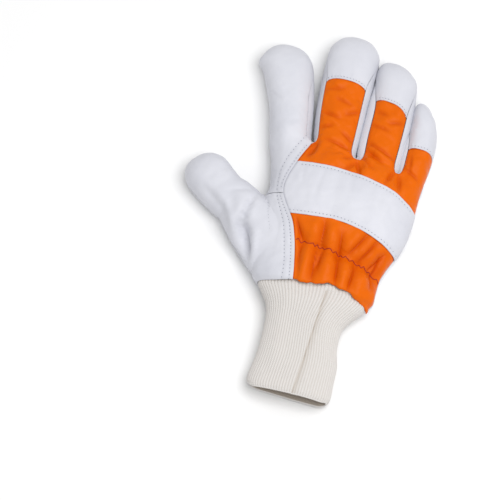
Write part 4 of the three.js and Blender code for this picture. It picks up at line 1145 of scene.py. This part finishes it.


# The sheet runs inside, hem, outside and top; painted shade darkens the valleys between ribs, the inside, the
# crease and the band under the wrist's edge
def makeCuff():
    m, n = loopSheet.shape[0], count
    verts = loopSheet[:, :-1].reshape(-1, 3).copy()
    verts[:, 2] = np.maximum(verts[:, 2], cuff["lowest"])
    first, last = len(innerRows) + len(hemArc), len(topArc)
    rib = np.concatenate([np.ones((first, n)), ribWave[:, :-1], np.ones((last, n))])
    # painted shade in the rib valleys, along the crease, under the wrist's edge and over the whole inside
    shade = 0.38 * (1 - rib)
    shade[first:-last] += (creaseShade + 0.4 * underEdge)[:, :-1]
    shade[:len(innerRows)] = 1.0
    faces = ringFaces(m, n)[:, [0, 3, 2, 1]].tolist()
    mesh = makeObject("knitCuff", verts, faces, knit, "knit_cuff", np.clip(shade, 0, 1)).data
    layer = mesh.uv_layers.new(name="alongCloth")
    corners = np.empty(len(mesh.loops), np.int32)
    mesh.loops.foreach_get("vertex_index", corners)
    u = np.broadcast_to(np.arange(n) / cuff["perRib"], (m, n))
    v = loopSheet[:, :-1, 1] / cuff["loopPitch"] + 0.5 * np.abs(2 * (u % 1) - 1)  # loops form a V on each rib
    uv = np.stack([u.reshape(-1), v.reshape(-1)], -1)[corners]
    layer.data.foreach_set("uv", uv.reshape(-1).astype(np.float32))


makeCuff()
print("cuff made")

# Leather patch under the cuff
pulse = {"top": -50.6, "bottom": -114.0, "x": 3.4, "topHalf": 23.0, "bottomHalf": 17.5, "corner": 7.0,
         "rowInsets": (2.2, 7.0)}


def pulseHalf(y):  # half width, even from bottom to top
    share = (y - pulse["bottom"]) / (pulse["top"] - pulse["bottom"])
    return mix(pulse["bottomHalf"], pulse["topHalf"], share)


def pulseSkin(share, turn):  # flat, with the two lower corners rounded
    y = mix(pulse["bottom"], pulse["top"], share)
    corner = np.clip(1 - (y - pulse["bottom"]) / pulse["corner"], 0, 1)
    half = pulseHalf(y) - pulse["corner"] * (1 - np.sqrt(1 - corner**2))
    return triple(pulse["x"] + half * (2 * turn - 1), y, 0.0)


def pulseRow(inset):  # down the right side, round the corner, and the same mirrored
    side = np.linspace(pulse["top"] - 1, pulse["bottom"] + pulse["corner"], 30)
    half = pulseHalf(side) - inset
    arc = np.linspace(0, np.pi / 2, 8)[1:]
    radius = max(pulse["corner"] - inset, 0.8)
    cornerX = half[-1] - radius + radius * np.cos(arc)
    cornerY = pulse["bottom"] + inset + radius - radius * np.sin(arc)
    right = np.stack([np.concatenate([half, cornerX]), np.concatenate([side, cornerY])], -1)
    left = right[::-1] * np.array([-1, 1])
    return np.concatenate([right, left]) + np.array([pulse["x"], 0])


pulseRows = [pulseRow(inset) for inset in pulse["rowInsets"]]


def pulseDetail(verts, normals):
    return pressedRows(pulseRows, verts[:, 0], verts[:, 1], depth=0.25)


pulseShare = np.concatenate([0.12 * np.linspace(0, 1, 16) ** 1.8, np.linspace(0.12, 1, 46)[1:]])
pulseGrid = grid(pulseShare, edgeSteps(40.0, pitch["leather"]))
pulsePatch = patch(pulseSkin(*pulseGrid), ("first", "last", "start", "end"))
makePiece("pulsePatchLeather", [pulsePatch], leather, "pulse_patch", pulseDetail, roll=0.7)


# Threads: each stitch is a short capsule laid on the surface that a ray finds
def surfaceTree(names):  # finished surfaces of the named pieces
    verts, faces, offset = [], [], 0
    for name in names:
        points, quads = made[name]
        verts.append(points)
        faces.append(quads + offset)
        offset += len(points)
    return BVHTree.FromPolygons(np.concatenate(verts).tolist(), np.concatenate(faces).tolist())


def castRow(tree, row, pitch, fromAbove=True):  # points at even distances, dropped on the surface
    steps = np.linalg.norm(np.diff(row, axis=0), axis=1)
    along = np.insert(np.cumsum(steps), 0, 0)
    places = np.arange(pitch / 2, along[-1], pitch)
    x, y = np.interp(places, along, row[:, 0]), np.interp(places, along, row[:, 1])
    height, down = (90.0, -1.0) if fromAbove else (-20.0, 1.0)
    found = [tree.ray_cast(Vector((a, b, height)), Vector((0, 0, down))) for a, b in zip(x, y)]
    keep = [(hit[0], hit[1]) for hit in found if hit[0] is not None]
    points = np.array([list(p) for p, _ in keep]).reshape(-1, 3)
    normals = np.array([list(n) for _, n in keep]).reshape(-1, 3)
    normals *= np.where(normals[:, 2:] * down > 0, -1, 1)
    return points, normals


def threadFrame(points, normals, flat):  # direction along a thread, and across it in the surface
    heading = np.gradient(points, axis=0)
    if flat:
        heading -= normals * np.sum(heading * normals, axis=1, keepdims=True)
    heading /= np.maximum(np.linalg.norm(heading, axis=1, keepdims=True), 1e-9)
    return heading, np.cross(normals, heading)


threadTurn = np.linspace(0, 2 * np.pi, 7)[:-1]  # six sides


def stitchArrays(points, normals, length, radius):  # capsule: rings of radius * (1 - t^4)^(1/2), ends sunk
    heading, sideways = threadFrame(points, normals, True)
    t = np.array([-1.0, -0.8, -0.35, 0.35, 0.8, 1.0])
    r = radius * np.sqrt(np.maximum(1 - t**4, 0.02))
    ring = (heading[:, None, None] * (t * length / 2)[None, :, None, None]
            + sideways[:, None, None] * (r[:, None] * np.cos(threadTurn))[None, :, :, None]
            + normals[:, None, None] * (r[:, None] * np.sin(threadTurn))[None, :, :, None])
    sink = -0.35 * radius - 0.5 * radius * t**4
    return points[:, None, None] + ring + normals[:, None, None] * sink[None, :, None, None]


# Closed tubes: points are s tubes of m rings with n points each, and both ends get a cap
def makeTubes(name, points, finish):
    s, m, n = points.shape[:3]
    offset = (np.arange(s) * m * n)[:, None]
    faces = (ringFaces(m, n)[None] + offset[:, None]).reshape(-1, 4).tolist()
    for ring in (np.arange(n)[::-1], np.arange(n) + (m - 1) * n):
        faces += (ring[None] + offset).tolist()
    makeObject(name, points.reshape(-1, 3), faces, finish)


# Length and radius of the stitches of each thread piece
stitches = {
    "backStitches": dict(length=0.85, radius=0.36), "fineStitches": dict(length=0.85, radius=0.26),
    "faintStitches": dict(length=0.7, radius=0.17), "soleStitches": dict(length=1.5, radius=0.32)}


def makeThreads(name, tree, rows, fromAbove=True):
    groups = [castRow(tree, row, step, fromAbove) for row, step in rows]
    blocks = [stitchArrays(p, n, **stitches[name]) for p, n in groups if len(p) > 2]
    makeTubes(name, np.concatenate(blocks), greyThread)


backTree = surfaceTree(["thumbBackLeather", "indexBackLeather", "knuckleBandLeather"])
capTree = surfaceTree(["middleFingertipLeather", "ringFingertipLeather", "littleFingertipLeather"])
soleTree = surfaceTree(["palmLeather", "indexFrontLeather", "middleFrontLeather", "pulsePatchLeather"])
makeThreads("backStitches", backTree, [
    (outerRow, 2.9), (innerRowLow, 2.4), (innerRowHigh, 2.6), (bandUpperRow, 2.6), (bandLowerRow, 2.6)])
makeThreads("fineStitches", capTree, [(row, 2.2) for row in capRows])
makeThreads("faintStitches", backTree, [(faintRow, 2.6)])
makeThreads("soleStitches", soleTree, [(row, 2.7) for row in (diagonalRow, *pulseRows)], fromAbove=False)
print("stitches made")

# Zigzag thread over the elastic
zigzag = {"period": 4.4, "swing": 1.1, "radius": 0.3, "from": -16.5, "to": 47.5, "pitch": 0.45}


def makeZigzag():  # a triangle wave whose period and height wander a little
    x = np.arange(zigzag["from"], zigzag["to"], zigzag["period"] / 8)
    phase = (x - zigzag["from"]) / zigzag["period"]
    phase = phase + 0.18 * np.sin(phase * 1.7) + 0.1 * np.sin(phase * 4.1)
    wave = (2 * np.abs(2 * (phase - np.floor(phase + 0.5))) - 1) * (1 + 0.3 * np.sin(phase * 2.3))
    row = np.stack([x, elasticY(x) + zigzag["swing"] * wave], -1)
    points, normals = castRow(surfaceTree(["wristCloth"]), row, zigzag["pitch"])
    sideways = threadFrame(points, normals, False)[1]
    centre = points + normals * (0.5 * zigzag["radius"])
    tube = (centre[:, None] + zigzag["radius"] * (sideways[:, None] * np.cos(threadTurn)[None, :, None]
                                                 + normals[:, None] * np.sin(threadTurn)[None, :, None]))
    makeTubes("elasticThread", tube[None], rustThread)


makeZigzag()
print("elastic thread made")

# Floor, light and camera
stage = {"colour": (0.92, 0.92, 0.92), "roughness": 0.7, "world": 0.6, "size": 3.0}
light = {"size": 1.1, "power": 14.5, "place": (0.4, -0.1, 1.4), "aim": (0, 0, 0)}
view = {"azimuth": 14.0, "elevation": 70.0, "distance": 3.9, "target": (-48.2, -23.6, 0.0), "across": 350.0,
        "sensor": 36.0}

bpy.ops.mesh.primitive_plane_add(size=stage["size"], location=(0, 0, 0))
floor = bpy.context.object
floor.name = "floor"
floor.data.materials.append(newMaterial("paleFloor", stage)[0])

panelData = bpy.data.lights.new("skyPanel", "AREA")
panelData.shape, panelData.size, panelData.energy = "DISK", light["size"], light["power"]
lamp = bpy.data.objects.new("skyPanel", panelData)
lamp.location = light["place"]
lamp.rotation_euler = (Vector(light["aim"]) - Vector(light["place"])).to_track_quat("-Z", "Y").to_euler()
bpy.context.scene.collection.objects.link(lamp)

world = bpy.data.worlds.new("studio")
world.use_nodes = True
world.node_tree.nodes["Background"].inputs[0].default_value = (1, 1, 1, 1)
world.node_tree.nodes["Background"].inputs[1].default_value = stage["world"]
bpy.context.scene.world = world
bpy.context.scene.view_settings.view_transform = "Standard"

azimuth, elevation = math.radians(view["azimuth"]), math.radians(view["elevation"])
level = math.cos(elevation)
back = Vector((math.sin(azimuth) * level, -math.cos(azimuth) * level, math.sin(elevation)))
camera = bpy.data.objects.new("camera", bpy.data.cameras.new("camera"))
camera.location = Vector(view["target"]) * mm + back * view["distance"]
camera.rotation_euler = (-back).to_track_quat("-Z", "Y").to_euler()
camera.data.sensor_width = view["sensor"]
camera.data.lens = view["sensor"] * view["distance"] / (view["across"] * mm)
bpy.context.scene.collection.objects.link(camera)
bpy.context.scene.camera = camera

print("scene ready")
